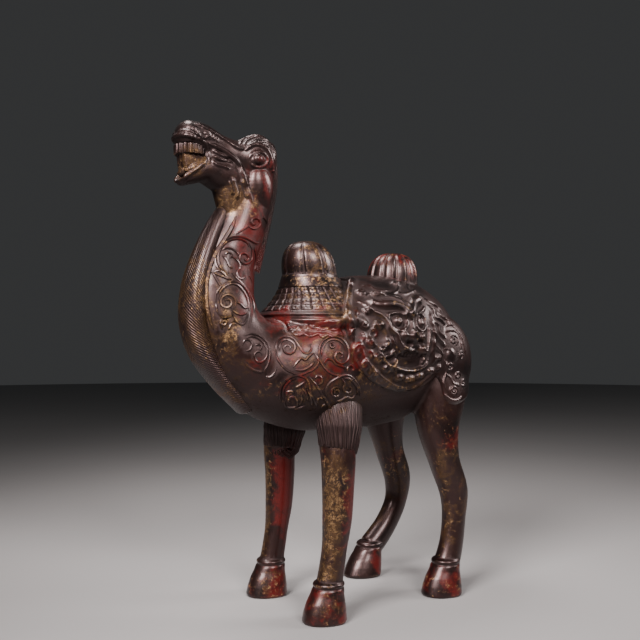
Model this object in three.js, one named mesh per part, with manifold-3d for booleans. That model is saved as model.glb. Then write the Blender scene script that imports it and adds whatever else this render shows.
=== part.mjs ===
// A standing two-humped camel, cast in one piece in gilt copper, with its neck in a tall curve,
// its head raised and its mouth open. Millimetres, +Z up, head towards -X, the figure's left
// side towards -Y, hooves on Z = 0, origin under the middle of the figure.
import * as THREE from "three";
import { mergeVertices } from "three/addons/utils/BufferGeometryUtils.js";
import Module from "manifold-3d";

const wasm = await Module();
wasm.setup();

// Driving sizes of the body and the stance
const BELLY = 144;
const BACK = 273;
const FLANK = 57;
const STANCE = 43;
const LEFT = -1;
const RIGHT = 1;

// Humps: upright lobes on a plain collar
const HUMP = { radius: 22.5, height: 28, lobes: 10, valley: 1.8 };
const COLLAR = { radius: 23, height: 8 };
const FRONT_HUMP = { x: -17, z: 273, lean: -4 };
const REAR_HUMP = { x: 72, z: 269, lean: 1 };

// Haunch: a rounded mass that carries the top of each hind leg
const HAUNCH = { y: 31, z: 201, reach: [35, 24, 40] };

// Hooves: reach of the sole in front, behind and to each side
const HOOF = { height: 28, toe: 23, heel: 12.5, wide: 17, collar: 12.5, bevel: 1.5 };

// Cloth over the rump, with a lion mask on each flank
const CLOTH_THICKNESS = 2.2;
const SADDLE_TUCK = 1.5; // how far the saddle runs on under the cloth's front edge
const MASK = { x: 46, z: 222, radius: 36, dome: 5 };

// Line of the hind legs from the haunch to the sole: the right foot is stepped forward
const LEFT_HIND = [96, 94, 90, 95, 106.5, 106.5, 104, 100, 97];
const RIGHT_HIND = [98, 98, 98, 105, 115, 112.5, 101, 88, 81];

// Closed skin through a row of rings of equal size, each end closed with a fan of triangles.
function skin(rings) {
  const sides = rings[0].length;
  const position = rings.flat().flatMap((p) => [p.x, p.y, p.z]);
  const index = [];
  for (let r = 0; r + 1 < rings.length; r++) {
    for (let i = 0; i < sides; i++) {
      const a = r * sides + i;
      const b = r * sides + ((i + 1) % sides);
      index.push(a, b, b + sides, a, b + sides, a + sides);
    }
  }
  [rings[0], rings[rings.length - 1]].forEach((ring, end) => {
    const centre = position.length / 3;
    const middle = ring.reduce((sum, p) => sum.add(p), new THREE.Vector3()).divideScalar(sides);
    position.push(middle.x, middle.y, middle.z);
    const first = end ? (rings.length - 1) * sides : 0;
    for (let i = 0; i < sides; i++) {
      const a = first + i;
      const b = first + ((i + 1) % sides);
      index.push(centre, end ? a : b, end ? b : a);
    }
  });
  return new THREE.BufferGeometry()
    .setAttribute("position", new THREE.Float32BufferAttribute(position, 3))
    .setIndex(index);
}

// A point of a superellipse of half size 1: power 2 is an ellipse, and more is squarer.
function rounded(angle, power) {
  const bend = (v) => Math.sign(v) * Math.abs(v) ** (2 / power);
  return [bend(Math.cos(angle)), bend(Math.sin(angle))];
}

// A limb, neck or body: rings square to the smooth line through the stations' middles. A ring
// reaches `deep` in the figure's own plane and `wide` to each side. A dome rounds off an end.
function limb(stations, { rings, sides, power = 2, startDome = 0, endDome = 0 }) {
  const smooth = (points) => new THREE.CatmullRomCurve3(points, false, "centripetal");
  const middle = smooth(stations.map((s) => new THREE.Vector3(s.x, s.y ?? 0, s.z)));
  const reach = smooth(stations.map((s) => new THREE.Vector3(s.deep, s.wide, 0)));
  const ringAt = (t, scale = 1, shift = 0) => {
    const along = middle.getTangent(t);
    const centre = middle.getPoint(t).addScaledVector(along, shift);
    const side = new THREE.Vector3(0, 1, 0).addScaledVector(along, -along.y).normalize();
    const deepWay = new THREE.Vector3().crossVectors(along, side);
    const size = reach.getPoint(t);
    return Array.from({ length: sides }, (_, i) => {
      const [c, s] = rounded((2 * Math.PI * i) / sides, power);
      return centre
        .clone()
        .addScaledVector(side, scale * size.y * c)
        .addScaledVector(deepWay, scale * size.x * s);
    });
  };
  const dome = [0.45, 1, 1.35];
  const made = Array.from({ length: rings + 1 }, (_, i) => ringAt(i / rings));
  if (startDome) {
    dome.forEach((a) => made.unshift(ringAt(0, Math.cos(a), -startDome * Math.sin(a))));
  }
  if (endDome) {
    dome.forEach((a) => made.push(ringAt(1, Math.cos(a), endDome * Math.sin(a))));
  }
  return skin(made);
}

// An ellipsoid of half sizes `reach`, turned about Y by `tilt` degrees.
function bead(centre, reach, { tilt = 0, sides = 10 } = {}) {
  return new THREE.SphereGeometry(1, sides, Math.round(sides * 0.7))
    .scale(...reach)
    .rotateY(THREE.MathUtils.degToRad(tilt))
    .translate(...centre);
}

// A closed geometry as a solid that can be joined and cut.
function solidOf(geometry) {
  const bare = geometry.clone();
  bare.deleteAttribute("normal");
  bare.deleteAttribute("uv");
  const merged = mergeVertices(bare, 1e-4);
  return new wasm.Manifold(
    new wasm.Mesh({
      numProp: 3,
      vertProperties: new Float32Array(merged.getAttribute("position").array),
      triVerts: new Uint32Array(merged.index.array),
    }),
  );
}

function joined(geometries) {
  return geometries.map(solidOf).reduce((sum, solid) => sum.add(solid));
}

// Body, from the breast to the rump, swollen by the thickness of whatever lies over it.
function trunk(swell = 0) {
  const profile = [
    { x: -92, top: 217, bottom: 195, wide: 12 },
    { x: -88, top: 225, bottom: 183, wide: 26 },
    { x: -76, top: 233, bottom: 166, wide: 39 },
    { x: -58, top: 238, bottom: 154, wide: 50 },
    { x: -32, top: 249, bottom: BELLY, wide: FLANK },
    { x: 0, top: 265, bottom: BELLY - 1, wide: FLANK + 1 },
    { x: 35, top: BACK, bottom: BELLY, wide: FLANK },
    { x: 68, top: BACK, bottom: BELLY + 3, wide: FLANK - 1 },
    { x: 92, top: BACK - 11, bottom: BELLY + 8, wide: FLANK - 9 },
    { x: 112, top: BACK - 30, bottom: BELLY + 16, wide: FLANK - 19 },
    { x: 127, top: BACK - 47, bottom: BELLY + 30, wide: FLANK - 28 },
    { x: 136, top: BACK - 56, bottom: BELLY + 45, wide: FLANK - 36 },
  ];
  const stations = profile.map(({ x, top, bottom, wide }) => ({
    x,
    z: (top + bottom) / 2,
    deep: (top - bottom) / 2 + swell,
    wide: wide + swell,
  }));
  return limb(stations, { rings: 16, sides: 22, power: 2.1, startDome: 3, endDome: 3 + swell });
}

// Neck, rising from the breast in a tall curve to the back of the head.
function neck() {
  const stations = [
    { x: -46, z: 195, deep: 44, wide: 48 },
    { x: -80, z: 209, deep: 34, wide: 37 },
    { x: -96, z: 231, deep: 28, wide: 28 },
    { x: -99.5, z: 255, deep: 26, wide: 22.5 },
    { x: -93, z: 283, deep: 22, wide: 19 },
    { x: -83, z: 306, deep: 20, wide: 17.5 },
    { x: -76, z: 328, deep: 19, wide: 17 },
    { x: -72, z: 350, deep: 18, wide: 16 },
  ];
  return limb(stations, { rings: 14, sides: 18 });
}

// Beard: a raised band down the front of the neck, ending in a blunt tip on the breast.
function beard() {
  const stations = [
    { x: -96, z: 323, deep: 5, wide: 5 },
    { x: -104.5, z: 307, deep: 7, wide: 9 },
    { x: -115, z: 284, deep: 8, wide: 12 },
    { x: -122.5, z: 259, deep: 9, wide: 14.5 },
    { x: -124, z: 235, deep: 9, wide: 16 },
    { x: -116, z: 211, deep: 9.5, wide: 17 },
    { x: -98.5, z: 188, deep: 9, wide: 16 },
    { x: -78, z: 167, deep: 8, wide: 13 },
  ];
  return limb(stations, { rings: 15, sides: 10, startDome: 4, endDome: 4 });
}

// Mane: a thin band down the back of the neck, cut off square above the withers.
function mane() {
  const stations = [
    { x: -58, z: 365, deep: 5, wide: 10 },
    { x: -56, z: 346, deep: 5, wide: 8 },
    { x: -59, z: 323, deep: 5, wide: 6 },
    { x: -65, z: 299, deep: 5, wide: 6 },
    { x: -72, z: 273, deep: 5, wide: 6 },
  ];
  return limb(stations, { rings: 8, sides: 8, power: 3 });
}

// Head: skull and muzzle as one form, a jaw hanging open under it, the cheeks and throat behind
// the mouth, eyes, jowls and a cap of hair. The mouth is hollowed out between the lips.
function head() {
  const muzzle = [
    { x: -60, z: 358, deep: 20, wide: 15 },
    { x: -74, z: 360, deep: 19, wide: 18.5 },
    { x: -90, z: 361.5, deep: 13.5, wide: 15 },
    { x: -105, z: 366, deep: 12, wide: 12.5 },
    { x: -119, z: 372, deep: 12, wide: 13 },
    { x: -130, z: 373.5, deep: 11, wide: 13.5 },
  ];
  const jaw = [
    { x: -84, z: 343, deep: 14, wide: 15 },
    { x: -102, z: 347, deep: 13, wide: 13.5 },
    { x: -116, z: 348, deep: 9, wide: 12.5 },
    { x: -126, z: 343, deep: 6, wide: 11.5 },
    { x: -133, z: 339, deep: 4, wide: 9 },
  ];
  const throat = [
    { x: -95, z: 355, deep: 17, wide: 13 },
    { x: -89.5, z: 337, deep: 17, wide: 14 },
    { x: -83.5, z: 317, deep: 17, wide: 14 },
  ];
  const cheek = bead([-108, 0, 358], [15, 12.5, 13]);
  const poll = bead([-68, 0, 367], [15, 12, 16], { tilt: 10 });
  const eyes = [LEFT, RIGHT].map((side) =>
    bead([-77, side * 15, 358.5], [7.5, 6, 5.5], { tilt: -12, sides: 8 }),
  );
  const jowls = [LEFT, RIGHT].map((side) =>
    bead([-72, side * 12, 339], [10.5, 7.5, 17], { tilt: -8, sides: 8 }),
  );
  const mouth = bead([-131, 0, 355.5], [13, 9.5, 9.5], { tilt: -8 });
  return joined([
    limb(muzzle, { rings: 11, sides: 14, power: 2.3, startDome: 5, endDome: 8 }),
    limb(jaw, { rings: 8, sides: 10, power: 2.4, endDome: 3 }),
    limb(throat, { rings: 3, sides: 10 }),
    cheek,
    poll,
    ...eyes,
    ...jowls,
  ]).subtract(solidOf(mouth));
}

// A hump: a leaning dome with upright lobes, on a plain collar.
function hump({ x, z, lean }) {
  const sides = HUMP.lobes * 3;
  const rings = [0, 0.35, 0.65, 0.85, 0.97].map((rise) => {
    const spread = (1 - rise ** 2.6) ** (1 / 2.6);
    return Array.from({ length: sides }, (_, i) => {
      const angle = (2 * Math.PI * i) / sides;
      const valley = HUMP.valley * Math.abs(Math.cos((angle * HUMP.lobes) / 2)) ** 4;
      const radius = (HUMP.radius - valley) * spread;
      return new THREE.Vector3(
        x + lean * rise + radius * Math.cos(angle),
        radius * Math.sin(angle),
        z + HUMP.height * rise,
      );
    });
  });
  const collar = new THREE.CylinderGeometry(COLLAR.radius, COLLAR.radius + 1, 3 * COLLAR.height, 18)
    .rotateX(Math.PI / 2)
    .translate(x, 0, z - COLLAR.height);
  return [skin(rings), collar];
}

// Saddle under the front hump: a tent from the collar down to a padded roll on the flanks.
function saddle() {
  const tent = [
    { z: 226, deep: 38, wide: 50 },
    { z: 234, deep: 44, wide: 56 },
    { z: 240, deep: 43, wide: 52 },
    { z: 244, deep: 37, wide: 46 },
    { z: 253, deep: 29, wide: 38 },
    { z: 262, deep: 25, wide: 30 },
    { z: 269, deep: 24, wide: 25 },
  ].map((ring) => ({ ...ring, x: FRONT_HUMP.x + 1 }));
  const behindEdge = clothSlab().translate([SADDLE_TUCK, 0, 0]);
  return solidOf(limb(tent, { rings: 9, sides: 20 })).subtract(behindEdge);
}

// The cloth's outline, seen from the side, as a slab right through the figure.
function clothSlab() {
  const outline = new THREE.Shape();
  outline.moveTo(14, BACK + 20);
  outline.splineThru([
    new THREE.Vector2(-13, 252),
    new THREE.Vector2(-21, 231),
    new THREE.Vector2(-17, 209),
    new THREE.Vector2(-5, 190),
  ]);
  outline.absarc(MASK.x, MASK.z, MASK.radius + 18, 3.75, 5.6, false);
  outline.lineTo(113, 165);
  outline.lineTo(150, 173);
  outline.lineTo(150, BACK + 20);
  const slab = new THREE.ExtrudeGeometry(outline, {
    depth: 2 * FLANK + 20,
    bevelEnabled: false,
    curveSegments: 8,
  });
  slab.translate(0, 0, -FLANK - 10).rotateX(Math.PI / 2);
  return solidOf(slab);
}

// Cloth over the rump: the swollen body inside the cloth's outline.
function cloth() {
  return solidOf(trunk(CLOTH_THICKNESS)).intersect(clothSlab());
}

// Lion mask on a flank: a low dome with brows, eyes, nose, cheeks and a ring of curls.
function lionMask(side) {
  const dome = (dx, dz) => MASK.dome * (1 - (dx * dx + dz * dz) / MASK.radius ** 2);
  const flank = (x, z) => FLANK - 0.006 * (z - BELLY - 65) ** 2 - 0.003 * (x - 20) ** 2;
  const knob = (dx, dz, reach, tilt = 0) => {
    const x = MASK.x + dx;
    const z = MASK.z + dz;
    return bead([x, side * (flank(x, z) + dome(dx, dz) + 1), z], reach, { tilt, sides: 6 });
  };
  const curls = Array.from({ length: 8 }, (_, i) => {
    const angle = THREE.MathUtils.degToRad(135 + (i * 270) / 7);
    return knob(29 * Math.cos(angle), 29 * Math.sin(angle), [6, 3.5, 6]);
  });
  const base = [MASK.x, side * (FLANK - 8), MASK.z];
  return [
    bead(base, [MASK.radius, 8 + MASK.dome, MASK.radius], { sides: 14 }),
    knob(-9, 9, [5.5, 4, 5.5]),
    knob(11, 9, [5.5, 4, 5.5]),
    knob(-15, 19, [10, 3.5, 4], 30),
    knob(15, 19, [10, 3.5, 4], -30),
    knob(1, -4, [7.5, 4.5, 6]),
    knob(-11, -12, [8, 4, 6]),
    knob(12, -12, [8, 4, 6]),
    ...curls,
  ];
}

// Front leg, from the shoulder to the pastern, under a hairy cuff that ends at `hem`.
function frontLeg(side, hem) {
  const leg = [
    { x: -16, z: 168, deep: 18, wide: 14, y: STANCE - 11 },
    { x: -19, z: 128, deep: 14, wide: 14 },
    { x: -19, z: 103, deep: 13, wide: 12.5 },
    { x: -20, z: 77, deep: 12, wide: 11.5 },
    { x: -23, z: 53, deep: 10, wide: 10.2 },
    { x: -26, z: 36, deep: 10.2, wide: 10.2 },
    { x: -28, z: 26, deep: 11, wide: 10.5 },
  ].map((s) => ({ ...s, y: side * (s.y ?? STANCE) }));
  const cuff = [
    { x: -13, z: hem + 50, deep: 27, wide: 16, y: STANCE - 10 },
    { x: -15, z: hem + 24, deep: 22, wide: 17, y: STANCE - 4 },
    { x: -17.5, z: hem, deep: 16.8, wide: 15.5, y: STANCE - 2 },
  ].map((s) => ({ ...s, y: side * s.y }));
  return [
    limb(leg, { rings: 10, sides: 12 }),
    limb(cuff, { rings: 3, sides: 12 }),
    hoof(-28, side * STANCE),
  ];
}

// Hind leg, from the haunch over the hock to the pastern and hoof, along a line of places in X.
function hindLeg(side, line) {
  const sizes = [
    { z: 200, deep: 31, wide: 19, y: 33 },
    { z: 173, deep: 27, wide: 20, y: 37 },
    { z: 143, deep: 18.8, wide: 17, y: 41 },
    { z: 115, deep: 13.4, wide: 13.5, y: STANCE },
    { z: 87, deep: 13.6, wide: 11, y: STANCE },
    { z: 65, deep: 10.8, wide: 10, y: STANCE },
    { z: 45, deep: 10.8, wide: 10, y: STANCE },
    { z: 31, deep: 11.5, wide: 10.5, y: STANCE },
    { z: 25, deep: 11.5, wide: 10.5, y: STANCE },
  ];
  const leg = sizes.map((size, i) => ({ ...size, x: line[i], y: side * size.y }));
  const [haunch, , , , hock, , , pastern, top] = line;
  return [
    limb(leg, { rings: 13, sides: 14 }),
    bead([haunch - 1, side * HAUNCH.y, HAUNCH.z], HAUNCH.reach, { sides: 11 }),
    hoof(top, side * STANCE, (hock - pastern) / 5),
  ];
}

// Hoof: horn that spreads to a toe in front, on a flat sole with a small bevel. `x` is the middle
// of its top, and its sole is pushed forward under it.
function hoof(x, y, push = 0) {
  const { height, toe, heel, wide, collar, bevel } = HOOF;
  const rings = [
    { z: 0, toe: toe - bevel, heel: heel - bevel, wide: wide - bevel },
    { z: bevel, toe, heel, wide },
    { z: height * 0.55, toe: toe - 4, heel: heel - 0.5, wide: wide - 2.5 },
    { z: height, toe: collar, heel: collar, wide: collar },
  ].map((ring) =>
    Array.from({ length: 16 }, (_, i) => {
      const angle = (2 * Math.PI * i) / 16;
      const reach = Math.cos(angle) < 0 ? ring.toe : ring.heel;
      return new THREE.Vector3(
        x - push * (1 - ring.z / height) + reach * Math.cos(angle),
        y + ring.wide * Math.sin(angle),
        ring.z,
      );
    }),
  );
  return skin(rings);
}

// Tail: short and plain, flat against the rump.
function tail() {
  const stations = [
    { x: 128, z: 235, deep: 4, wide: 6 },
    { x: 137, z: 215, deep: 4, wide: 6 },
    { x: 137, z: 193, deep: 4, wide: 5.5 },
    { x: 132, z: 171, deep: 4.5, wide: 7 },
  ];
  return limb(stations, { rings: 7, sides: 8, startDome: 2, endDome: 3 });
}

const whole = joined([
  trunk(),
  neck(),
  beard(),
  mane(),
  ...hump(FRONT_HUMP),
  ...hump(REAR_HUMP),
  ...lionMask(LEFT),
  ...lionMask(RIGHT),
  ...frontLeg(LEFT, 134),
  ...frontLeg(RIGHT, 126),
  ...hindLeg(LEFT, LEFT_HIND),
  ...hindLeg(RIGHT, RIGHT_HIND),
  tail(),
])
  .add(head())
  .add(saddle())
  .add(cloth());

const cast = whole.getMesh();
const geometry = new THREE.BufferGeometry()
  .setAttribute("position", new THREE.BufferAttribute(cast.vertProperties, 3))
  .setIndex(new THREE.BufferAttribute(cast.triVerts, 1));
geometry.computeBoundingBox();
const middle = geometry.boundingBox.getCenter(new THREE.Vector3());
geometry.translate(-middle.x, -middle.y, 0);
geometry.computeVertexNormals();

const camel = new THREE.Mesh(
  geometry,
  new THREE.MeshStandardMaterial({ color: 0x4a2118, roughness: 0.38, metalness: 0.55 }),
);
camel.name = "camel";

const group = new THREE.Group();
group.add(camel);
export default group;
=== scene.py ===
"""A standing two-humped camel cast in gilt copper, dark with lacquer, its gilding worn through.

Tables are in millimetres on the figure's own drawing, +Z up, head towards -X, left side
towards -Y; at() brings a place from the drawing into the frame, in metres.
"""

import math

import bmesh
import bpy
import numpy as np
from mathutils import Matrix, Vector, noise
from mathutils.bvhtree import BVHTree
from mathutils.kdtree import KDTree


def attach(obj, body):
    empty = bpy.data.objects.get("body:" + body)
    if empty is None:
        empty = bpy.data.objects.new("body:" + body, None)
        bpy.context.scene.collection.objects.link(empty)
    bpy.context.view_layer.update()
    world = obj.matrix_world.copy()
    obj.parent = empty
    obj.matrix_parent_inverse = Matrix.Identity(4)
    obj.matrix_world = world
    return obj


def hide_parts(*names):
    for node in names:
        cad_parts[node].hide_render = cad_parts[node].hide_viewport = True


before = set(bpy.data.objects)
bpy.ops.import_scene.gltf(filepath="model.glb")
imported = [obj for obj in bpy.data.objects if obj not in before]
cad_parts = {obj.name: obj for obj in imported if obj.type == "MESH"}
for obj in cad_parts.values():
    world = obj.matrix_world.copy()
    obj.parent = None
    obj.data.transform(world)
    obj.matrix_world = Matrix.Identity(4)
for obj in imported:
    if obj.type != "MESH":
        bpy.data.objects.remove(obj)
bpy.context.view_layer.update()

MM = 0.001
# Where the drawing's upright line lies along the frame, in mm
CENTRE_X = -2.42
# Left, then right
SIDES = (-1, 1)
FINE = 1

# The photograph's viewing place, in the frame, in metres, and its turn from the side view
VIEW_PLACE = (-0.40805, -0.5703, 0.2159)
VIEW_TURN = -35
LENS = 46.6
LENS_RISE = 0.0375


# Workshop: shared ways of making and finishing a shape


def at(x, y, z):
    return Vector((x + CENTRE_X, y, z)) * MM


def clear():
    """Nothing is selected, so that an operator acts only on what comes next."""
    if bpy.context.object and bpy.context.object.mode != "OBJECT":
        bpy.ops.object.mode_set(mode="OBJECT")
    bpy.ops.object.select_all(action="DESELECT")


def hold(piece):
    clear()
    piece.select_set(True)
    bpy.context.view_layer.objects.active = piece
    return piece


def named(piece, name):
    piece.name = piece.data.name = name
    return piece


def settle(piece):
    """Puts a piece's place, turn and size into its mesh."""
    hold(piece)
    bpy.ops.object.transform_apply(location=True, rotation=True, scale=True)
    return piece


def finish_with(piece, kind, **settings):
    hold(piece)
    modifier = piece.modifiers.new(kind.title(), kind)
    for name, value in settings.items():
        setattr(modifier, name, value)
    bpy.ops.object.modifier_apply(modifier=modifier.name)
    return piece


def joined(name, parts):
    clear()
    for part in parts:
        part.select_set(True)
    bpy.context.view_layer.objects.active = parts[0]
    if len(parts) > 1:
        bpy.ops.object.join()
    return named(bpy.context.object, name)


def fused(piece, voxel, rounds):
    """One skin round all that a piece holds, softened where its shapes meet."""
    finish_with(piece, "REMESH", mode="VOXEL", voxel_size=voxel * MM, adaptivity=0)
    if rounds:
        finish_with(piece, "SMOOTH", factor=0.5, iterations=rounds)
    return piece


def smooth(piece):
    hold(piece)
    bpy.ops.object.shade_smooth_by_angle(angle=math.radians(50))
    return piece


def spline(points, t):
    """A place on the centripetal Catmull-Rom spline through the points, t from 0 to 1."""
    last = len(points) - 1
    i = min(int(t * last), last - 1)
    w = t * last - i
    p1, p2 = points[i], points[i + 1]
    p0 = points[i - 1] if i else 2 * p1 - p2
    p3 = points[i + 2] if i + 2 <= last else 2 * p2 - p1
    gap = [(b - a).length ** 0.5 for a, b in ((p0, p1), (p1, p2), (p2, p3))]
    mid = gap[1] if gap[1] > 1e-4 else 1
    before = gap[0] if gap[0] > 1e-4 else mid
    after = gap[2] if gap[2] > 1e-4 else mid
    leave = ((p1 - p0) / before - (p2 - p0) / (before + mid) + (p2 - p1) / mid) * mid
    reach = ((p2 - p1) / mid - (p3 - p1) / (mid + after) + (p3 - p2) / after) * mid
    return (
        p1
        + leave * w
        + (3 * (p2 - p1) - 2 * leave - reach) * w**2
        + (2 * (p1 - p2) + leave + reach) * w**3
    )


def marked(piece, name, values):
    """A number for each vertex, which the finish reads."""
    mark = piece.data.attributes.get(name)
    if mark is None:
        mark = piece.data.attributes.new(name, "FLOAT", "POINT")
    mark.data.foreach_set("value", np.asarray(values, np.float32).ravel())


def close_up():
    """Ends an edit: openings are filled and every face is turned outwards."""
    bpy.ops.mesh.select_all(action="SELECT")
    bpy.ops.mesh.fill_holes(sides=0)
    bpy.ops.mesh.select_all(action="SELECT")
    bpy.ops.mesh.normals_make_consistent(inside=False)
    bpy.ops.object.mode_set(mode="OBJECT")


def skin(rings):
    """A circle extruded through the rings, one after another, and closed at both ends."""
    clear()
    bpy.ops.mesh.primitive_circle_add(vertices=len(rings[0]), radius=MM)
    shape = bpy.context.object
    bpy.ops.object.mode_set(mode="EDIT")
    for number, ring in enumerate(rings):
        if number:
            bpy.ops.mesh.extrude_region_move()
        edit = bmesh.from_edit_mesh(shape.data)
        for corner, place in zip((v for v in edit.verts if v.select), ring):
            corner.co = place
    close_up()
    return shape


# Strokes of hair are counted from here, so that a piece with none reads 0
HAIR_COUNT = 1000


def limb(
    stations, rings=40, sides=48, power=2, start_dome=0, end_dome=0, relief=None, hair=None
):
    """A body, neck or leg: rings square to the smooth line through the stations' middles.

    A station is x, z, how deep it reaches in the figure's own plane, how wide to each side,
    and its y where that isn't 0. Relief gives the height in mm cut at a length run along the
    line, a turn round it and a place, and marks the piece where it is sunk and proud. Hair
    counts the strokes passed at a run, a turn and a depth, for the finish to draw.
    """
    middles = [Vector((s[0], s[4] if len(s) > 4 else 0, s[1])) for s in stations]
    reaches = [Vector((s[2], s[3], 0)) for s in stations]
    heights = []
    strokes = []
    run = [0.0]

    def ring(t, scale=1, shift=0):
        step = 1e-4
        ahead = spline(middles, min(1, t + step)) - spline(middles, max(0, t - step))
        along = ahead.normalized()
        side = (Vector((0, 1, 0)) - along * along.y).normalized()
        deep_way = along.cross(side)
        middle = spline(middles, t) + along * shift
        deep, wide, _ = spline(reaches, t) * scale
        places = []
        for i in range(sides):
            turn = 2 * math.pi * i / sides
            c, s = math.cos(turn), math.sin(turn)
            square = (abs(c) ** power + abs(s) ** power) ** (-1 / power)
            place = middle + side * wide * c * square + deep_way * deep * s * square
            if relief:
                high = relief(run[0], turn, place, wide)
                place += (side * c / wide + deep_way * s / deep).normalized() * high
                heights.append(high)
            if hair:
                strokes.append(HAIR_COUNT + hair(run[0], turn, deep * s * square))
            places.append(at(*place))
        return places

    # Angles of the rings that round off an end
    dome = [0.3, 0.6, 0.9, 1.15, 1.4]
    made = []
    if start_dome:
        made += [ring(0, math.cos(a), -start_dome * math.sin(a)) for a in dome[::-1]]
    last = spline(middles, 0)
    for i in range(rings + 1):
        here = spline(middles, i / rings)
        run[0] += (here - last).length
        last = here
        made.append(ring(i / rings))
    if end_dome:
        made += [ring(1, math.cos(a), end_dome * math.sin(a)) for a in dome]
    shape = skin(made)
    if relief:
        # Painted shade, with the dark lacquer, where the relief is sunk; worn where it is proud
        marked(shape, "lacquer_and_painted_shade", np.clip(-1.6 * np.array(heights) - 0.1, 0, 1))
        marked(shape, "worn", np.clip(0.7 * np.array(heights) - 0.05, 0, 0.6))
    if hair:
        marked(shape, "hair", strokes)
    return shape


def bead(centre, reach, tilt=0, lean=0, turn=0, fine=32):
    """An ellipsoid: tilt turns it about the Y axis, lean about X and turn about Z."""
    clear()
    bpy.ops.mesh.primitive_uv_sphere_add(segments=fine, ring_count=fine // 2, radius=MM)
    shape = bpy.context.object
    shape.scale = reach
    shape.rotation_euler = [math.radians(v) for v in (lean, tilt, turn)]
    shape.location = at(*centre)
    return settle(shape)


# Places traced on enlargements of the photograph: left edge, top edge, times enlarged

CROPS = {
    "neck": (180, 195, 11.615),
    "shoulder": (250, 285, 11.615),
    "cloth": (335, 270, 11.2),
    "head": (165, 112, 12.54),
    "face": (335, 270, 10),
}
# The photograph's focal length, its horizon and its middle, in its own pixels
FOCAL = 829
HORIZON = 344
MIDDLE = 320


def sight(crop, u, v):
    """The viewing ray through a place on an enlargement."""
    left, top, times = CROPS[crop]
    turn = math.radians(VIEW_TURN)
    ahead = Vector((-math.sin(turn), math.cos(turn), 0))
    right = Vector((math.cos(turn), math.sin(turn), 0))
    across = left + u / times - MIDDLE
    down = top + v / times - HORIZON
    return (ahead * FOCAL + right * across - Vector((0, 0, down))).normalized()


def traced(ground, crop, points, proud=0):
    """Where traced places lie on the ground, for work that stands `proud` of it in mm."""
    found = []
    for u, v in points:
        way = sight(crop, u, v)
        place, normal, _, _ = ground.ray_cast(Vector(VIEW_PLACE), way)
        if place is None:
            continue
        facing = max(0.25, -way.dot(normal))
        found.append(place - way * (proud * MM / facing) - normal * (proud * MM))
    return found


def flowing(points, count):
    """Points of a smooth line through the traced ones."""
    knots = [Vector((*p, 0)) for p in points]
    return [tuple(spline(knots, i / count)[:2]) for i in range(count + 1)]


def whorl(u, v, inner, outer, start, turns, squash=1.0):
    """A spiral traced round a middle, from its inner end to its outer end."""
    steps = max(8, int(abs(turns) * 14))
    made = []
    for i in range(steps + 1):
        t = i / steps
        angle = math.radians(start) + 2 * math.pi * turns * t
        reach = inner + (outer - inner) * t
        made.append((u + squash * reach * math.cos(angle), v + reach * math.sin(angle)))
    return made


def cords(name, runs):
    """Round cords along runs of places, each with its own thickness and thinning ends."""
    line = bpy.data.curves.new(name, "CURVE")
    line.dimensions = "3D"
    line.bevel_depth = MM
    line.bevel_resolution = 1
    line.use_fill_caps = True
    for places, thick in runs:
        strand = line.splines.new("POLY")
        strand.points.add(len(places) - 1)
        for number, (point, place) in enumerate(zip(strand.points, places)):
            point.co = (*place, 1)
            end = min(number, len(places) - 1 - number) / max(1, len(places) * 0.12)
            point.radius = thick * min(1, 0.3 + 0.7 * end)
    clear()
    cord = bpy.data.objects.new(name, line)
    bpy.context.collection.objects.link(cord)
    hold(cord)
    bpy.ops.object.convert(target="MESH")
    return bpy.context.object


def even(points, pitch):
    """The same line with a point every pitch mm or so."""
    length = sum((b - a).length for a, b in zip(points, points[1:])) / MM
    count = max(4, int(length / pitch))
    return [spline(points, i / count) for i in range(count + 1)]


# Carving: heights over a patch of the flank, in mm, laid out as along (X) and up (arc)

# The level a flank is unrolled about and the radius it is measured at, in mm, and how far
# from the middle plane the carving may stand, in metres
AXIS_Z = 208
ARC = 60
FLANK_REACH = 0.067


def unrolled(place):
    """Along and up, in mm, for a place on the flank in the frame."""
    x, y, z = place[0] / MM - CENTRE_X, place[1] / MM, place[2] / MM
    return x, ARC * math.atan2(z - AXIS_Z, abs(y))


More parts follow.
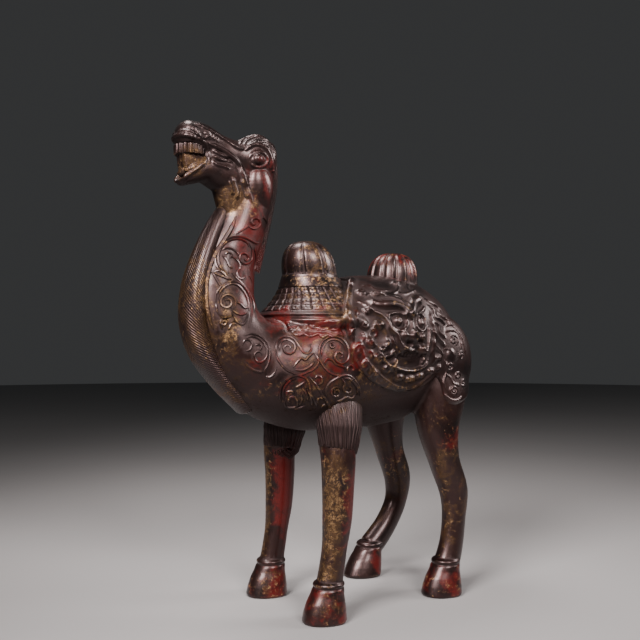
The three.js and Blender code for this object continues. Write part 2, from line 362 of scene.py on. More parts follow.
class Carving:
    def __init__(self, low, high, cell):
        self.low, self.cell = low, cell
        count = [int((b - a) / cell) + 1 for a, b in zip(low, high)]
        self.x = low[0] + cell * np.arange(count[0])
        self.s = low[1] + cell * np.arange(count[1])
        self.height = np.zeros(count)

    def window(self, points, reach):
        cut = []
        for axis, values in enumerate((self.x, self.s)):
            lowest = min(p[axis] for p in points) - reach
            highest = max(p[axis] for p in points) + reach
            first = int(np.clip(np.searchsorted(values, lowest), 0, len(values)))
            last = int(np.clip(np.searchsorted(values, highest), first, len(values)))
            cut.append(slice(first, last))
        return tuple(cut)

    def spread(self, cut):
        return np.meshgrid(self.x[cut[0]], self.s[cut[1]], indexing="ij")

    def near(self, points, reach):
        """The window round a line, and there the distance to it and the length run along it."""
        cut = self.window(points, reach)
        x, s = self.spread(cut)
        nearest = np.full(x.shape, 1e6)
        run = np.zeros(x.shape)
        gone = 0.0
        for (ax, ay), (bx, by) in zip(points, points[1:]):
            length = math.hypot(bx - ax, by - ay)
            if length < 1e-6:
                continue
            share = ((x - ax) * (bx - ax) + (s - ay) * (by - ay)) / length**2
            share = np.clip(share, 0, 1)
            away = np.hypot(x - ax - share * (bx - ax), s - ay - share * (by - ay))
            closer = away < nearest
            nearest = np.where(closer, away, nearest)
            run = np.where(closer, gone + share * length, run)
            gone += length
        return cut, nearest, run, gone

    def ridge(self, points, wide, high, thin_ends=True):
        """A raised line with a round top. A negative height is a groove."""
        cut, away, run, length = self.near(points, wide + self.cell)
        ends = np.minimum(run, length - run) / max(length * 0.16, 1e-6)
        size = np.clip(0.35 + ends, 0, 1) if thin_ends else 1.0
        share = np.clip(1 - (away / (wide * size)) ** 2, 0, 1)
        self.height[cut] += high * size * share**0.8

    def mound(self, place, reach, high, turn=0, square=2.0, top=0.5):
        """A rounded boss on what is there already. A negative height is a hollow."""
        wide = max(reach)
        cut = self.window([place], wide * 1.3)
        x, s = self.spread(cut)
        c, n = math.cos(math.radians(turn)), math.sin(math.radians(turn))
        a = ((x - place[0]) * c + (s - place[1]) * n) / reach[0]
        b = (-(x - place[0]) * n + (s - place[1]) * c) / reach[1]
        share = np.clip(1 - (np.abs(a) ** square + np.abs(b) ** square), 0, 1)
        self.height[cut] += high * share**top

    def curl(self, place, reach, high, turns=1.6, hand=1, start=0.0):
        """A curl of mane: a round boss with a spiral cut into it and its middle left whole."""
        cut = self.window([place], max(reach) * 1.1)
        x, s = self.spread(cut)
        a, b = (x - place[0]) / reach[0], (s - place[1]) / reach[1]
        q = np.hypot(a, b)
        boss = high * np.clip(1 - q**4, 0, 1) ** 0.5
        phase = q * turns - hand * (np.arctan2(b, a) / (2 * math.pi)) + start
        inside = np.clip((0.98 - q) * 6, 0, 1) * np.clip((q - 0.2) * 8, 0, 1)
        cutting = np.cos(2 * math.pi * phase) * 0.5 + 0.5
        self.height[cut] += boss - 0.55 * high * inside * cutting**3 * (q < 1)

    def inside(self, outline):
        """How far within a closed outline each place is: negative outside."""
        closed = list(outline) + [outline[0]]
        x, s = np.meshgrid(self.x, self.s, indexing="ij")
        within = np.zeros(x.shape, bool)
        for (ax, ay), (bx, by) in zip(closed, closed[1:]):
            if ay == by:
                continue
            crosses = ((ay > s) != (by > s)) & (x < (bx - ax) * (s - ay) / (by - ay) + ax)
            within ^= crosses
        _, away, _, _ = self.near(closed, reach=400)
        return np.where(within, away, -away)


def blurred(values, reach):
    """Heights averaged over a square window, three times over."""
    for _ in range(3):
        for axis in (0, 1):
            padding = [(reach + 1, reach) if a == axis else (0, 0) for a in (0, 1)]
            summed = np.cumsum(np.pad(values, padding, mode="edge"), axis=axis)
            size = values.shape[axis]
            ahead = np.take(summed, range(2 * reach + 1, 2 * reach + 1 + size), axis=axis)
            behind = np.take(summed, range(0, size), axis=axis)
            values = (ahead - behind) / (2 * reach + 1)
    return values


def sheet(name, carving, ground, side):
    """A carved patch laid on the flank: rows of places found outwards from the middle line."""
    height = carving.height
    buried = -0.8
    clear()
    bpy.ops.mesh.primitive_grid_add(
        x_subdivisions=height.shape[0] - 1, y_subdivisions=height.shape[1] - 1, size=1
    )
    patch = named(bpy.context.object, name)
    places = np.zeros((height.shape[1], height.shape[0], 3), np.float32)
    for j, s in enumerate(carving.s):
        turn = s / ARC
        way = Vector((0, side * math.cos(turn), math.sin(turn)))
        for i, x in enumerate(carving.x):
            start = at(x, 0, AXIS_Z)
            hit, normal, _, _ = ground.ray_cast(start, way)
            if hit is None:
                hit, normal = start, way
            place = hit + normal * float(height[i, j]) * MM
            place.y = max(-FLANK_REACH, min(FLANK_REACH, place.y))
            places[j, i] = place
    patch.data.vertices.foreach_set("co", places.ravel())
    # Painted shade, with the dark lacquer, where the carving lies below the run of it and a little
    # all over; worn where above
    proud = height - blurred(height, int(2.2 / carving.cell))
    marked(patch, "lacquer_and_painted_shade", np.clip((-proud - 0.1) * 1.4 + 0.2, 0, 1).T)
    marked(patch, "worn", np.clip((proud - 0.3) * 0.25, 0, 0.4).T)
    hold(patch)
    bpy.ops.object.mode_set(mode="EDIT")
    edit = bmesh.from_edit_mesh(patch.data)
    flat = height.T.ravel()
    lost = [face for face in edit.faces if max(flat[v.index] for v in face.verts) < buried]
    bmesh.ops.delete(edit, geom=lost, context="FACES")
    bmesh.update_edit_mesh(patch.data)
    close_up()
    return patch


# The casting's plain forms

TRUNK = [
    (-92, 217, 195, 12),
    (-88, 225, 183, 26),
    (-76, 233, 166, 39),
    (-58, 238, 154, 50),
    (-32, 249, 144, 57),
    (0, 265, 143, 58),
    (35, 273, 144, 57),
    (68, 273, 147, 56),
    (92, 262, 152, 48),
    (112, 243, 160, 38),
    (127, 226, 174, 29),
    (136, 217, 189, 21),
]
NECK = [
    (-46, 195, 44, 48),
    (-80, 209, 34, 37),
    (-96, 231, 28, 28),
    (-99.5, 255, 26, 22.5),
    (-93, 283, 22, 19),
    (-83, 306, 20, 17.5),
    (-76, 328, 19, 17),
    (-72, 350, 18, 16),
]
BEARD = [
    (-96, 323, 5, 5),
    (-104.5, 307, 7, 9),
    (-115, 284, 8, 12),
    (-122.5, 259, 9, 14.5),
    (-124, 235, 9, 16),
    (-116, 211, 9.5, 17),
    (-98.5, 188, 9, 16),
    (-78, 167, 8, 13),
]
MANE = [
    (-58, 365, 5, 10),
    (-56, 346, 5, 8),
    (-59, 323, 5, 6),
    (-65, 299, 5, 6),
    (-72, 273, 5, 6),
]
MUZZLE = [
    (-60, 358, 20, 15),
    (-74, 360, 19, 18.5),
    (-90, 361.5, 13.5, 15),
    (-105, 366, 12, 12.5),
    (-119, 372, 12, 13),
    (-130, 373.5, 11, 13.5),
]
JAW = [
    (-84, 343, 14, 15),
    (-102, 347, 13, 13.5),
    (-116, 348, 9, 12.5),
    (-126, 343, 6, 11.5),
    (-133, 339, 4, 9),
]
THROAT = [
    (-95, 355, 17, 13),
    (-89.5, 337, 17, 14),
    (-83.5, 317, 17, 14),
]
TENT_X = -16
TENT = [
    (224, 36, 49),
    (229, 40, 53.6),
    (232, 43.4, 56.2),
    (234.4, 44.2, 56.8),
    (236.6, 43, 55.2),
    (237.5, 41.9, 53.8),
    (239.2, 42.8, 54.2),
    (240.8, 41, 51.6),
    (241.9, 39.2, 49.4),
    (244, 37, 46.4),
    (253, 29.4, 38.3),
    (262, 25.4, 30.5),
    (270, 24.2, 25),
]
LATTICE_ROWS = [242.6, 247.4, 252.3, 257.2, 262.2]
LATTICE_COLUMNS = 28
CLOTH_FRONT = [(-21, 226), (-19.5, 232), (-17, 241), (-13, 252), (-6, 262), (2, 272)]
FRONT_LEG = [
    (-16, 168, 18, 14, 32),
    (-19, 128, 14, 14, 43),
    (-19, 103, 13, 12.5, 43),
    (-20, 77, 12, 11.5, 43),
    (-23, 53, 10, 10.2, 43),
    (-26, 36, 10.2, 10.2, 43),
    (-28, 26, 11, 10.5, 43),
]
HIND_LEG = [
    (200, 31, 19, 33),
    (173, 27, 20, 37),
    (143, 18.8, 17, 41),
    (115, 13.4, 13.5, 43),
    (87, 13.6, 11, 43),
    (65, 10.8, 10, 43),
    (45, 10.8, 10, 43),
    (31, 11.5, 10.5, 43),
    (25, 11.5, 10.5, 43),
]
HIND_LINE = {
    -1: [96, 94, 90, 95, 106.5, 106.5, 104, 100, 97],
    1: [98, 98, 98, 105, 115, 112.5, 101, 88, 81],
}
TAIL = [
    (125, 238, 4, 6),
    (137.5, 216, 4, 6),
    (138.6, 194, 4, 5.5),
    (134, 175, 4, 6.5),
    (132, 165, 3.4, 5.5),
]
# Place, lean, number of lobes, and how narrow and deep the line between them is
HUMPS = [(-17, 273, -4, 8, 40, 1.5), (72, 269, 1, 12, 8, 2.0)]


def trunk():
    stations = [(x, (top + low) / 2, (top - low) / 2, wide) for x, top, low, wide in TRUNK]
    return limb(stations, rings=60, sides=72, power=2.1, start_dome=3, end_dome=3)


def legs():
    parts = []
    for side in SIDES:
        front = [(*station[:4], side * station[4]) for station in FRONT_LEG]
        hind = [
            (x, z, deep, wide, side * y)
            for x, (z, deep, wide, y) in zip(HIND_LINE[side], HIND_LEG)
        ]
        haunch = (HIND_LINE[side][0] - 1, side * 31, 201)
        parts += [limb(front), limb(hind), bead(haunch, (35, 24, 40), fine=48)]
    return parts


def cuff(name, side, hem):
    """Long hair over the top of a front leg, in upright strokes, cut off at a hem."""
    stations = [
        (-12.5, hem + 52, 28.5, 15, side * 31),
        (-13.5, hem + 38, 25.4, 16.8, side * 35.5),
        (-15, hem + 24, 21.2, 16.8, side * 39),
        (-16.6, hem + 10, 17.6, 15.7, side * 41),
        (-17.5, hem + 1.5, 16.2, 15, side * 41.6),
        (-17.7, hem, 15.4, 14.3, side * 41.6),
        (-17.8, hem + 0.6, 12, 11.4, side * 41.6),
    ]
    tucked, shown, near_hem, fringe = 18, 20, 42, 8
    locks, lock_high, tuck_deep, ragged_high = 30, 0.35, 3.2, 1.1
    strokes, drift = 62, 0.05
    dark = 0.5

    def relief(run, turn, place, wide):
        fade = min(1, max(0, (run - tucked) / shown))
        low = min(1, max(0, (run - near_hem) / fringe))
        ragged = noise.noise(Vector((math.cos(turn) * 4, math.sin(turn) * 4, side))) * low
        lock = lock_high * math.sin(turn * locks) * fade
        return lock - tuck_deep * (1 - fade) + ragged_high * ragged

    def hair(run, turn, depth):
        return strokes * abs(turn - math.pi) / (2 * math.pi) + drift * run

    made = limb(
        stations, rings=int(60 * FINE), sides=int(240 * FINE), relief=relief, hair=hair
    )
    marked(made, "lacquer_and_painted_shade", np.full(len(made.data.vertices), dark))
    return named(made, name)


def hooves():
    feet = []
    for side in SIDES:
        feet.append((-28, side * 43, 0))
        line = HIND_LINE[side]
        feet.append((line[-1], side * 43, (line[4] - line[7]) / 5))
    return [hoof(*foot) for foot in feet]


def hoof(x, y, push):
    """Horn that spreads to a toe in front, on a flat sole, under a collar."""
    profile = [
        (0, 20.5, 11, 15),
        (0.6, 22.4, 12, 16.4),
        (2.2, 23, 12.5, 17),
        (9, 21.4, 12.4, 15.9),
        (15.4, 19, 12, 14.5),
        (21, 15.6, 11.6, 13),
        (25, 13.6, 12.2, 12.6),
        (26.6, 12, 11.4, 11.4),
        (28, 12.9, 12.6, 12.6),
        (29.6, 12.6, 12.4, 12.2),
        (31, 10.5, 10.5, 10.4),
    ]
    rings = []
    for z, toe, heel, wide in profile:
        ring = []
        for i in range(48):
            turn = 2 * math.pi * i / 48
            reach = toe if math.cos(turn) < 0 else heel
            ahead = x - push * (1 - z / 28) + reach * math.cos(turn)
            ring.append(at(ahead, y + wide * math.sin(turn), z))
        rings.append(ring)
    return skin(rings)


def hump(x, z, lean, lobes, narrow, deep):
    """A leaning dome of upright lobes on a plain collar."""
    height, radius, swell = 28, 22.5, 0.3
    sides = lobes * 22
    rings = []
    for step in range(25):
        rise = math.sin(step / 24 * math.pi / 2 * 0.985)
        spread = (1 - rise**2.6) ** (1 / 2.6)
        ring = []
        for i in range(sides):
            turn = 2 * math.pi * i / sides
            crease = abs(math.cos(turn * lobes / 2)) ** narrow
            reach = (radius + swell - deep * crease) * spread
            ahead = x + lean * rise + reach * math.cos(turn)
            ring.append(at(ahead, reach * math.sin(turn), z + height * rise))
        rings.append(ring)
    collar = [(x, z - drop, radius + out, radius + out) for drop, out in ((16, 2), (1, 1), (0, 0))]
    return [skin(rings), limb(collar, rings=10, sides=64)]


def saddle_form():
    """The plain tent under the cloth and the lattice."""
    inset = 0.7
    stations = [(TENT_X, z, deep - inset, wide - inset) for z, deep, wide in TENT]
    return limb(stations, rings=30, sides=72)


def saddle():
    """Lattice of padded squares over a double roll, tucked under the cloth at its back."""
    fronts, levels = zip(*CLOTH_FRONT)
    tuck, tuck_deep = 2.5, 4.0
    collar_high = 0.5
    pad_high, cut_deep, cut_wide = 0.34, 0.7, 0.5
    row_tall, shift_per_row = 5.7, 0.12

    def relief(run, turn, place, wide):
        over = place.x - float(np.interp(place.z, levels, fronts)) - tuck
        sunk = -tuck_deep * min(1, max(0, over / 1.5))
        if place.z < LATTICE_ROWS[0]:
            return sunk
        if place.z > LATTICE_ROWS[-1]:
            return sunk + collar_high
        row = float(np.interp(place.z, LATTICE_ROWS, range(len(LATTICE_ROWS))))
        column = turn / (2 * math.pi) * LATTICE_COLUMNS + shift_per_row * row
        down, round_ = row % 1 - 0.5, column % 1 - 0.5
        broad = 2 * math.pi * wide * 0.93 / LATTICE_COLUMNS
        edge = min((0.5 - abs(down)) * row_tall, (0.5 - abs(round_)) * broad)
        pad = pad_high * (1 - (2 * down) ** 4) * (1 - (2 * round_) ** 4)
        # A ring punched round a dot in the middle of each square
        out = math.hypot(down * row_tall, round_ * broad)
        ring = 0.16 * math.exp(-(((out - 1.5) / 0.5) ** 2)) - 0.45 * math.exp(-((out / 0.8) ** 2))
        return pad - cut_deep * math.exp(-((edge / cut_wide) ** 2)) + ring + sunk

    stations = [(TENT_X, z, deep, wide) for z, deep, wide in TENT]
    made = limb(stations, rings=int(130 * FINE), sides=int(460 * FINE), relief=relief)
    return named(made, "saddle")


def hatched(run, across, pitch, slant, deep):
    """Strokes of hair: grooves at a slant, no two quite alike."""
    wander = noise.noise(Vector((run * 0.12, across * 0.12, 3.1)))
    phase = (run + slant * across + 1.4 * wander) / pitch
    stroke = math.sin(math.pi * (phase % 1)) ** 0.7
    weight = 0.75 + 0.5 * noise.noise(Vector((math.floor(phase) * 2.7, run * 0.05, 0)))
    return deep * (stroke - 0.75) * weight


def beard():
    def hair(run, turn, depth):
        from_front = abs((turn - 0.5 * math.pi) % (2 * math.pi) - math.pi)
        return (run - 11.5 * from_front) / 2.3

    made = limb(BEARD, rings=150, sides=64, power=2.3, start_dome=4, end_dome=4, hair=hair)
    return named(made, "beard")


def mane():
    def hair(run, turn, depth):
        return (run + 0.8 * depth) / 1.8

    return named(limb(MANE, rings=90, power=3, hair=hair), "mane")


def tail():
    def relief(run, turn, place, wide):
        return hatched(math.sin(turn) * wide * 1.2, run, 2.2, 0.25, 0.55)

    made = limb(TAIL, rings=60, sides=64, start_dome=2, end_dome=3, relief=relief)
    return named(made, "tail")


MOUTH = [
    (-152, 366.4), (-137, 366.2), (-130, 366.2), (-124.6, 365), (-121.2, 362.6), (-119.6, 359.4),
    (-119.4, 355.4), (-121.4, 351.4), (-126, 347.2), (-132, 342.6), (-136.6, 338.6), (-152, 337),
]
# Raised lines of the face, traced on the head: thickness in mm, then the line
FACE_LINES = [
    (1.9, [(120, 312), (160, 292), (250, 284), (330, 300), (392, 330)]),
    (1.1, [(392, 322), (440, 338), (486, 372), (522, 412), (546, 462), (557, 520), (557, 590),
           (540, 640)]),
    (2.4, [(506, 548), (496, 606), (466, 652), (400, 706), (300, 776), (214, 848)]),
    (1.2, [(150, 250), (220, 232), (300, 236), (372, 262), (420, 300)]),
    (1.6, [(372, 152), (430, 158), (500, 196), (600, 254), (690, 310), (780, 366), (870, 424),
           (940, 456), (1000, 466)]),
    (1.9, [(510, 372), (600, 412), (680, 452), (760, 496), (830, 546), (890, 602), (934, 664),
           (966, 740), (990, 806), (1014, 884), (1042, 962), (1072, 1060), (1096, 1130)]),
    (1.2, [(940, 720), (975, 800), (992, 880), (1010, 950), (1030, 1040)]),
    (1.5, [(588, 470), (650, 512), (720, 546), (800, 566)]),
    (1.5, [(584, 600), (640, 654), (720, 676), (812, 712)]),
    (1.2, [(600, 545), (680, 590), (760, 610), (850, 640)]),
    (1.0, [(388, 190), (412, 250), (446, 306), (492, 328), (532, 300), (548, 254), (514, 216),
           (462, 202)]),
    (0.8, [(572, 262), (556, 316)]),
    (0.8, [(602, 280), (588, 336)]),
    (0.8, [(632, 300), (618, 354)]),
    (0.8, [(664, 322), (652, 372)]),
    (2.3, [(1010, 480), (1060, 432), (1130, 408), (1210, 424), (1276, 478), (1316, 556),
           (1330, 640), (1314, 716)]),
    (1.3, [(1058, 600), (1076, 548), (1120, 512), (1172, 500), (1226, 512), (1268, 548),
           (1284, 600), (1268, 650), (1226, 684), (1172, 694), (1120, 680), (1076, 648),
           (1058, 600)]),
    (1.6, [(852, 826), (868, 900), (896, 1000), (902, 1094)]),
    (1.3, [(800, 860), (826, 940), (850, 1040)]),
    (1.5, [(962, 850), (1002, 950), (1040, 1082)]),
]
CAP_HAIRS = [
    [(940, 420), (960, 360), (1040, 310), (1150, 285)],
    [(985, 440), (1010, 380), (1090, 330), (1190, 305), (1270, 320)],
    [(1030, 450), (1060, 392), (1140, 350), (1240, 340), (1320, 370)],
    [(1090, 400), (1150, 370), (1230, 365), (1310, 395), (1360, 450)],
    [(1180, 395), (1250, 395), (1320, 430), (1365, 500), (1378, 580)],
    [(1270, 430), (1325, 480), (1360, 550), (1375, 640)],
    [(1310, 500), (1345, 560), (1362, 640), (1368, 720)],
    [(1330, 600), (1350, 680), (1352, 750)],
    [(1120, 300), (1200, 290), (1280, 305), (1340, 350)],
    [(1010, 350), (1080, 305), (1150, 282)],
]
CAP_HAIR = 1.0
NAPE_BEADS = [(1352, 600 + 34 * i) for i in range(5)]
EYE = (1166, 592)


def prism(outline, half):
    """A slab through the figure: an outline drawn from the side, extruded across."""
    clear()
    bpy.ops.mesh.primitive_circle_add(vertices=len(outline), radius=MM, fill_type="NGON")
    slab = bpy.context.object
    for corner, (x, z) in zip(slab.data.vertices, outline):
        corner.co = at(x, -half, z)
    bpy.ops.object.mode_set(mode="EDIT")
    bpy.ops.mesh.select_all(action="SELECT")
    bpy.ops.mesh.extrude_region_move(TRANSFORM_OT_translate={"value": (0, 2 * half * MM, 0)})
    close_up()
    return slab


def cut_away(piece, tool):
    finish_with(piece, "BOOLEAN", operation="DIFFERENCE", object=tool, solver="EXACT")
    bpy.data.objects.remove(tool)
    return piece


def head_forms():
    cheek = bead((-108, 0, 358), (15, 12.5, 13))
    poll = bead((-68, 0, 367), (15, 12, 16), tilt=10)
    return [
        limb(MUZZLE, power=2.3, start_dome=5, end_dome=8),
        limb(JAW, power=2.4, end_dome=3),
        limb(THROAT, rings=16),
        cheek,
        poll,
    ]


def skull():
    """The head's plain form with the mouth cut through it, and the ground its lines lie on."""
    plain = fused(joined("skull", head_forms() + [limb(NECK[3:])]), 0.8, 7)
    ground = BVHTree.FromObject(plain, bpy.context.evaluated_depsgraph_get())
    return cut_away(plain, prism(MOUTH, 30)), ground


def both_sides(places):
    return [places, [Vector((p.x, -p.y, p.z)) for p in places]]


def face_beads(ground, spots, reach, fine=32):
    """A bead at each traced spot and at the same place on the other side."""
    beads = []
    for place in traced(ground, "head", spots):
        x, y, z = place / MM
        beads += [bead((x - CENTRE_X, way * y, z), reach, fine=fine) for way in (1, -1)]
    return beads


def head_features(ground):
    """Brow, ear and nostril on each side, the eyes, the lines of the face and the nape."""
    parts = []
    for side in SIDES:
        parts.append(bead((-77.2, side * 15, 358.3), (7.2, 5.2, 5), tilt=-8, turn=side * 8))
        parts.append(bead((-72.5, side * 12.6, 337.5), (11.2, 7.6, 17.4), tilt=-8, lean=side * -4))
        parts.append(bead((-119.5, side * 11.4, 373.6), (2.6, 2.4, 2.6)))
    parts += face_beads(ground, [EYE], (4.3, 3.6, 4.2))
    runs = []
    for thick, line in FACE_LINES + [(CAP_HAIR, line) for line in CAP_HAIRS]:
        places = traced(ground, "head", flowing(line, 6 * len(line)))
        if len(places) > 3:
            runs += [(even(p, 0.8), thick) for p in both_sides(places)]
    parts.append(cords("face_lines", runs))
    return parts + face_beads(ground, NAPE_BEADS, (1.5, 1.5, 1.3), fine=12)


def mouth():
    """Inside of the mouth: palate and tongue between the lips, and a row of upper teeth."""
    palate = [
        (-106, 355, 12, 7),
        (-116, 355.5, 12.4, 8),
        (-126, 355, 12.8, 8.2),
        (-133.4, 354, 12, 7.4),
    ]
    gums = limb(palate, power=3, rings=24, end_dome=1.6)
    tongue = bead((-125, 0, 349.6), (12.5, 9.2, 5.6), tilt=-32)
    teeth = []
    row = [(-121.4, 9.0), (-125.6, 9.5), (-129.8, 9.2), (-133.6, 7.4), (-136.0, 4.0), (-136.8, 0.0)]
    levels = [(366, 1.9, 1.6), (361.4, 1.9, 1.6), (358.6, 1.75, 1.4)]
    for side in SIDES:
        for x, y in row:
            steps = [(x, z, deep, wide, side * y) for z, deep, wide in levels]
            teeth.append(limb(steps, rings=8, sides=20, power=4, end_dome=0.5))
    ridges = []
    for step in range(5):
        x = -121 - 3.1 * step
        z = 354.8 - 2.1 * step
        ridges.append(([at(x, y, z - 0.02 * y * y) for y in range(-9, 10, 2)], 0.8))
    made = joined("mouth", [gums, tongue, *teeth, cords("tongue_ridges", ridges)])
    return fused(made, 0.45, 1)


def casting():
    """The figure in one skin, and the plain ground that the chasing is laid on."""
    plain = [trunk(), limb(NECK), saddle_form(), *legs()]
    body = fused(joined("whole", plain), 1.3, 10)
    ground = BVHTree.FromObject(body, bpy.context.evaluated_depsgraph_get())
    face, face_ground = skull()
    raised = [face, *hooves(), *head_features(face_ground)]
    for place in HUMPS:
        raised += hump(*place)
    body = fused(joined("whole", [body, *raised]), 0.6, 2)
    return smooth(body), ground


# Cloth, lion masks and the skirt of the saddle, carved as one sheet on each flank

CLOTH_EDGE = [
    (165, 40), (140, 110), (112, 250), (96, 400), (100, 510), (135, 640), (165, 760), (195, 890),
    (240, 1000), (300, 1110), (370, 1205), (450, 1270), (560, 1335), (700, 1375), (850, 1372),
    (980, 1315), (1080, 1235), (1150, 1195), (1195, 1280), (1225, 1420), (1290, 1495),
    (1370, 1510),
]
CLOTH_BACK = [(121, -38), (128, -10), (125, 14), (112, 40), (103, 70), (99, 99), (14, 99)]
CURLS = [
    (285, 245, 62, 62, 1), (470, 277, 78, 44, -1), (350, 462, 52, 50, 1), (322, 615, 60, 66, 1),
    (482, 615, 56, 52, -1), (400, 805, 62, 66, 1), (490, 987, 62, 66, -1), (590, 1100, 56, 54, 1),
    (722, 1205, 52, 44, 1), (838, 1222, 60, 44, -1), (948, 1185, 50, 40, 1),
    (1150, 1092, 40, 42, 1), (1152, 985, 38, 44, -1), (160, 155, 44, 44, 1), (680, 150, 48, 40, -1),
    (1075, 1130, 40, 36, -1),
]
LOCKS = [
    [(1040, 400), (1100, 440), (1120, 520), (1180, 560), (1230, 620)],
    [(1070, 470), (1090, 560), (1150, 620), (1170, 700), (1230, 760)],
    [(1060, 560), (1110, 640), (1120, 720), (1180, 800), (1220, 850)],
    [(1070, 650), (1120, 740), (1110, 830), (1160, 900), (1200, 960)],
    [(1080, 760), (1100, 850), (1090, 930), (1110, 1000), (1090, 1060)],
    [(1150, 470), (1190, 520), (1260, 560), (1310, 620)],
    [(1010, 320), (1070, 370), (1130, 400), (1190, 470)],
]
BLADES = [
    ((150, 745), (212, 640), (205, 800)),
    ((205, 905), (272, 812), (330, 990)),
    ((292, 1080), (348, 1005), (412, 1150)),
    ((385, 1195), (432, 1130), (520, 1240)),
]
LAPPETS = [(505, 500), (622, 500), (740, 498), (860, 494), (985, 492)]
SCALLOPS = [
    (400, 440), (430, 425), (445, 490), (500, 560), (565, 580), (620, 555), (685, 592),
    (745, 580), (795, 560), (830, 602), (872, 600), (905, 575), (962, 602), (1003, 590),
    (1045, 568), (1092, 602), (1125, 632),
]


# Raised lines of a mask: width and height in mm, how many steps along the line, and the line
MASK_RIDGES = [
    # brows, a smooth leaf over each eye, with stripes cut into the end of the near one
    (5.0, 4.6, 16, [(330, 285), (420, 320), (520, 335), (620, 350), (700, 400), (748, 490)]),
    (5.0, 4.2, 16, [(890, 300), (840, 275), (800, 310), (780, 380), (765, 460)]),
    *(
        (0.7, -1.3, 10, [(300, 275 + v), (360, 305 + v), (430, 330 + v), (500, 345 + v)])
        for v in (-34, -12, 12, 34)
    ),
    (1.2, 1.7, 16, [(300, 240), (380, 198), (480, 215), (600, 250), (690, 300), (738, 400)]),
    (1.2, 1.7, 16, [(560, 222), (660, 245), (722, 300), (745, 370)]),
    (1.2, 1.7, 16, [(765, 330), (775, 250), (820, 215), (890, 230)]),
    (1.2, 1.7, 16, [(930, 330), (905, 380), (860, 410), (820, 450)]),
    # bridge of the nose
    (3.2, 2.4, 10, [(752, 420), (765, 520), (770, 600), (765, 650)]),
    # folds of the cheeks, and the upper lip
    (2.1, 3.2, 24, [(290, 300), (370, 390), (460, 440), (520, 510), (560, 600), (620, 650),
                    (640, 720), (690, 780), (760, 820), (800, 800)]),
    (1.9, 2.6, 24, [(950, 540), (968, 620), (962, 710), (940, 790), (900, 850)]),
    (1.2, 1.6, 24, [(560, 650), (600, 740), (650, 820), (740, 860), (820, 860)]),
    (1.0, 1.4, 24, [(530, 680), (580, 780), (640, 860)]),
    # rolled lower lip, and the fangs at the corners of the mouth
    (1.8, 3.0, 16, [(480, 830), (530, 920), (600, 975), (690, 1002), (790, 1010), (880, 990),
                    (940, 950), (962, 890)]),
    (2.0, 3.2, 16, [(470, 805), (515, 780), (545, 715)]),
    (2.0, 3.2, 16, [(520, 870), (575, 850), (600, 805)]),
    (1.7, 2.8, 16, [(585, 960), (625, 930), (648, 892)]),
    (1.5, 2.6, 16, [(905, 880), (900, 920), (880, 950)]),
]
# Bosses and hollows of a mask: middle, reach, height, and the shape of its edge and top
MASK_BOSSES = [
    # the face as a whole, and the muzzle
    ((700, 620), (31, 31), 2.6, {"square": 2.2, "top": 0.8}),
    ((770, 700), (14, 15), 1.4, {"top": 1.0}),
    # nose, its wings, the chops and the nostrils
    ((775, 662), (6.4, 5.2), 4.6, {"top": 0.6}),
    ((690, 652), (3.8, 4.0), 3.2, {"top": 0.6}),
    ((882, 672), (3.6, 4.4), 3.0, {"top": 0.6}),
    ((888, 800), (4.6, 4.4), 3.8, {"top": 0.6}),
    ((690, 790), (3.6, 3.0), 1.6, {"top": 0.6}),
    ((742, 738), (3.4, 2.2), -3.4, {"top": 0.6}),
    ((862, 716), (2.8, 2.2), -3.4, {"top": 0.6}),
    # open mouth, the hollows at its corner and the upper teeth
    ((765, 905), (15, 7.5), -5.5, {"turn": -4, "square": 2.6, "top": 0.6}),
    ((560, 850), (7, 9), -2.6, {"turn": 30, "top": 0.6}),
    ((450, 665), (7, 6.4), -2.2, {"top": 0.6}),
    *(
        ((690 + 34 * step, 850 + 3 * step), (1.4, 2.2), 2.6, {"square": 3, "top": 0.6})
        for step in range(6)
    ),
]
# Eyes of a mask: middle, reach and the line of the lids
MASK_EYES = [
    ((634, 507), (4.4, 4.3), [(530, 438), (600, 428), (680, 450), (722, 505), (708, 572),
                              (650, 606), (590, 585), (548, 520), (530, 438)]),
    ((868, 515), (3.2, 5.0), [(815, 560), (822, 480), (862, 430), (905, 462), (920, 535),
                              (895, 598), (850, 600), (815, 560)]),
]


def lion_face(carving, put):
    """Brows, eyes, nose, muzzle and open mouth, each traced where the photograph has it."""
    for wide, high, steps, line in MASK_RIDGES:
        carving.ridge(put(flowing(line, steps)), wide, high)
    for middle, reach, high, shape in MASK_BOSSES:
        carving.mound(put([middle])[0], reach, high, **shape)
    # Each eye is a ball with a pupil, in a lidded hollow
    for middle, (wide, tall), lid in MASK_EYES:
        place = put([middle])[0]
        carving.mound(place, (wide + 2.4, tall + 1.4), -2.6)
        carving.mound(place, (wide, tall), 6.0)
        carving.mound(place, (1.7, 1.7), -1.4, top=0.6)
        carving.ridge(put(flowing(lid, 30)), 1.3, 2.2, thin_ends=False)


HAUNCH_WHORLS = [
    (1335, 785, 62, 180, 1.7, 0.8),
    (1290, 1075, 58, 20, 1.6, 0.8),
    (1375, 1180, 44, 200, 1.5, 0.7),
    (1335, 1345, 62, 300, 1.8, 0.75),
    (1420, 960, 50, 90, 1.6, 0.6),
    (1440, 1260, 46, 10, 1.4, 0.5),
]
HAUNCH_STEMS = [
    [(1240, 700), (1300, 680), (1370, 700), (1410, 780), (1420, 880)],
    [(1230, 880), (1290, 900), (1330, 980), (1330, 1080)],
    [(1235, 1160), (1290, 1200), (1330, 1270), (1400, 1290)],
    [(1225, 1390), (1290, 1450), (1370, 1465), (1430, 1420)],
    [(1240, 640), (1300, 620), (1370, 660), (1420, 740), (1450, 840), (1470, 960)],
    [(1230, 1000), (1260, 1120), (1220, 1250), (1240, 1340)],
]


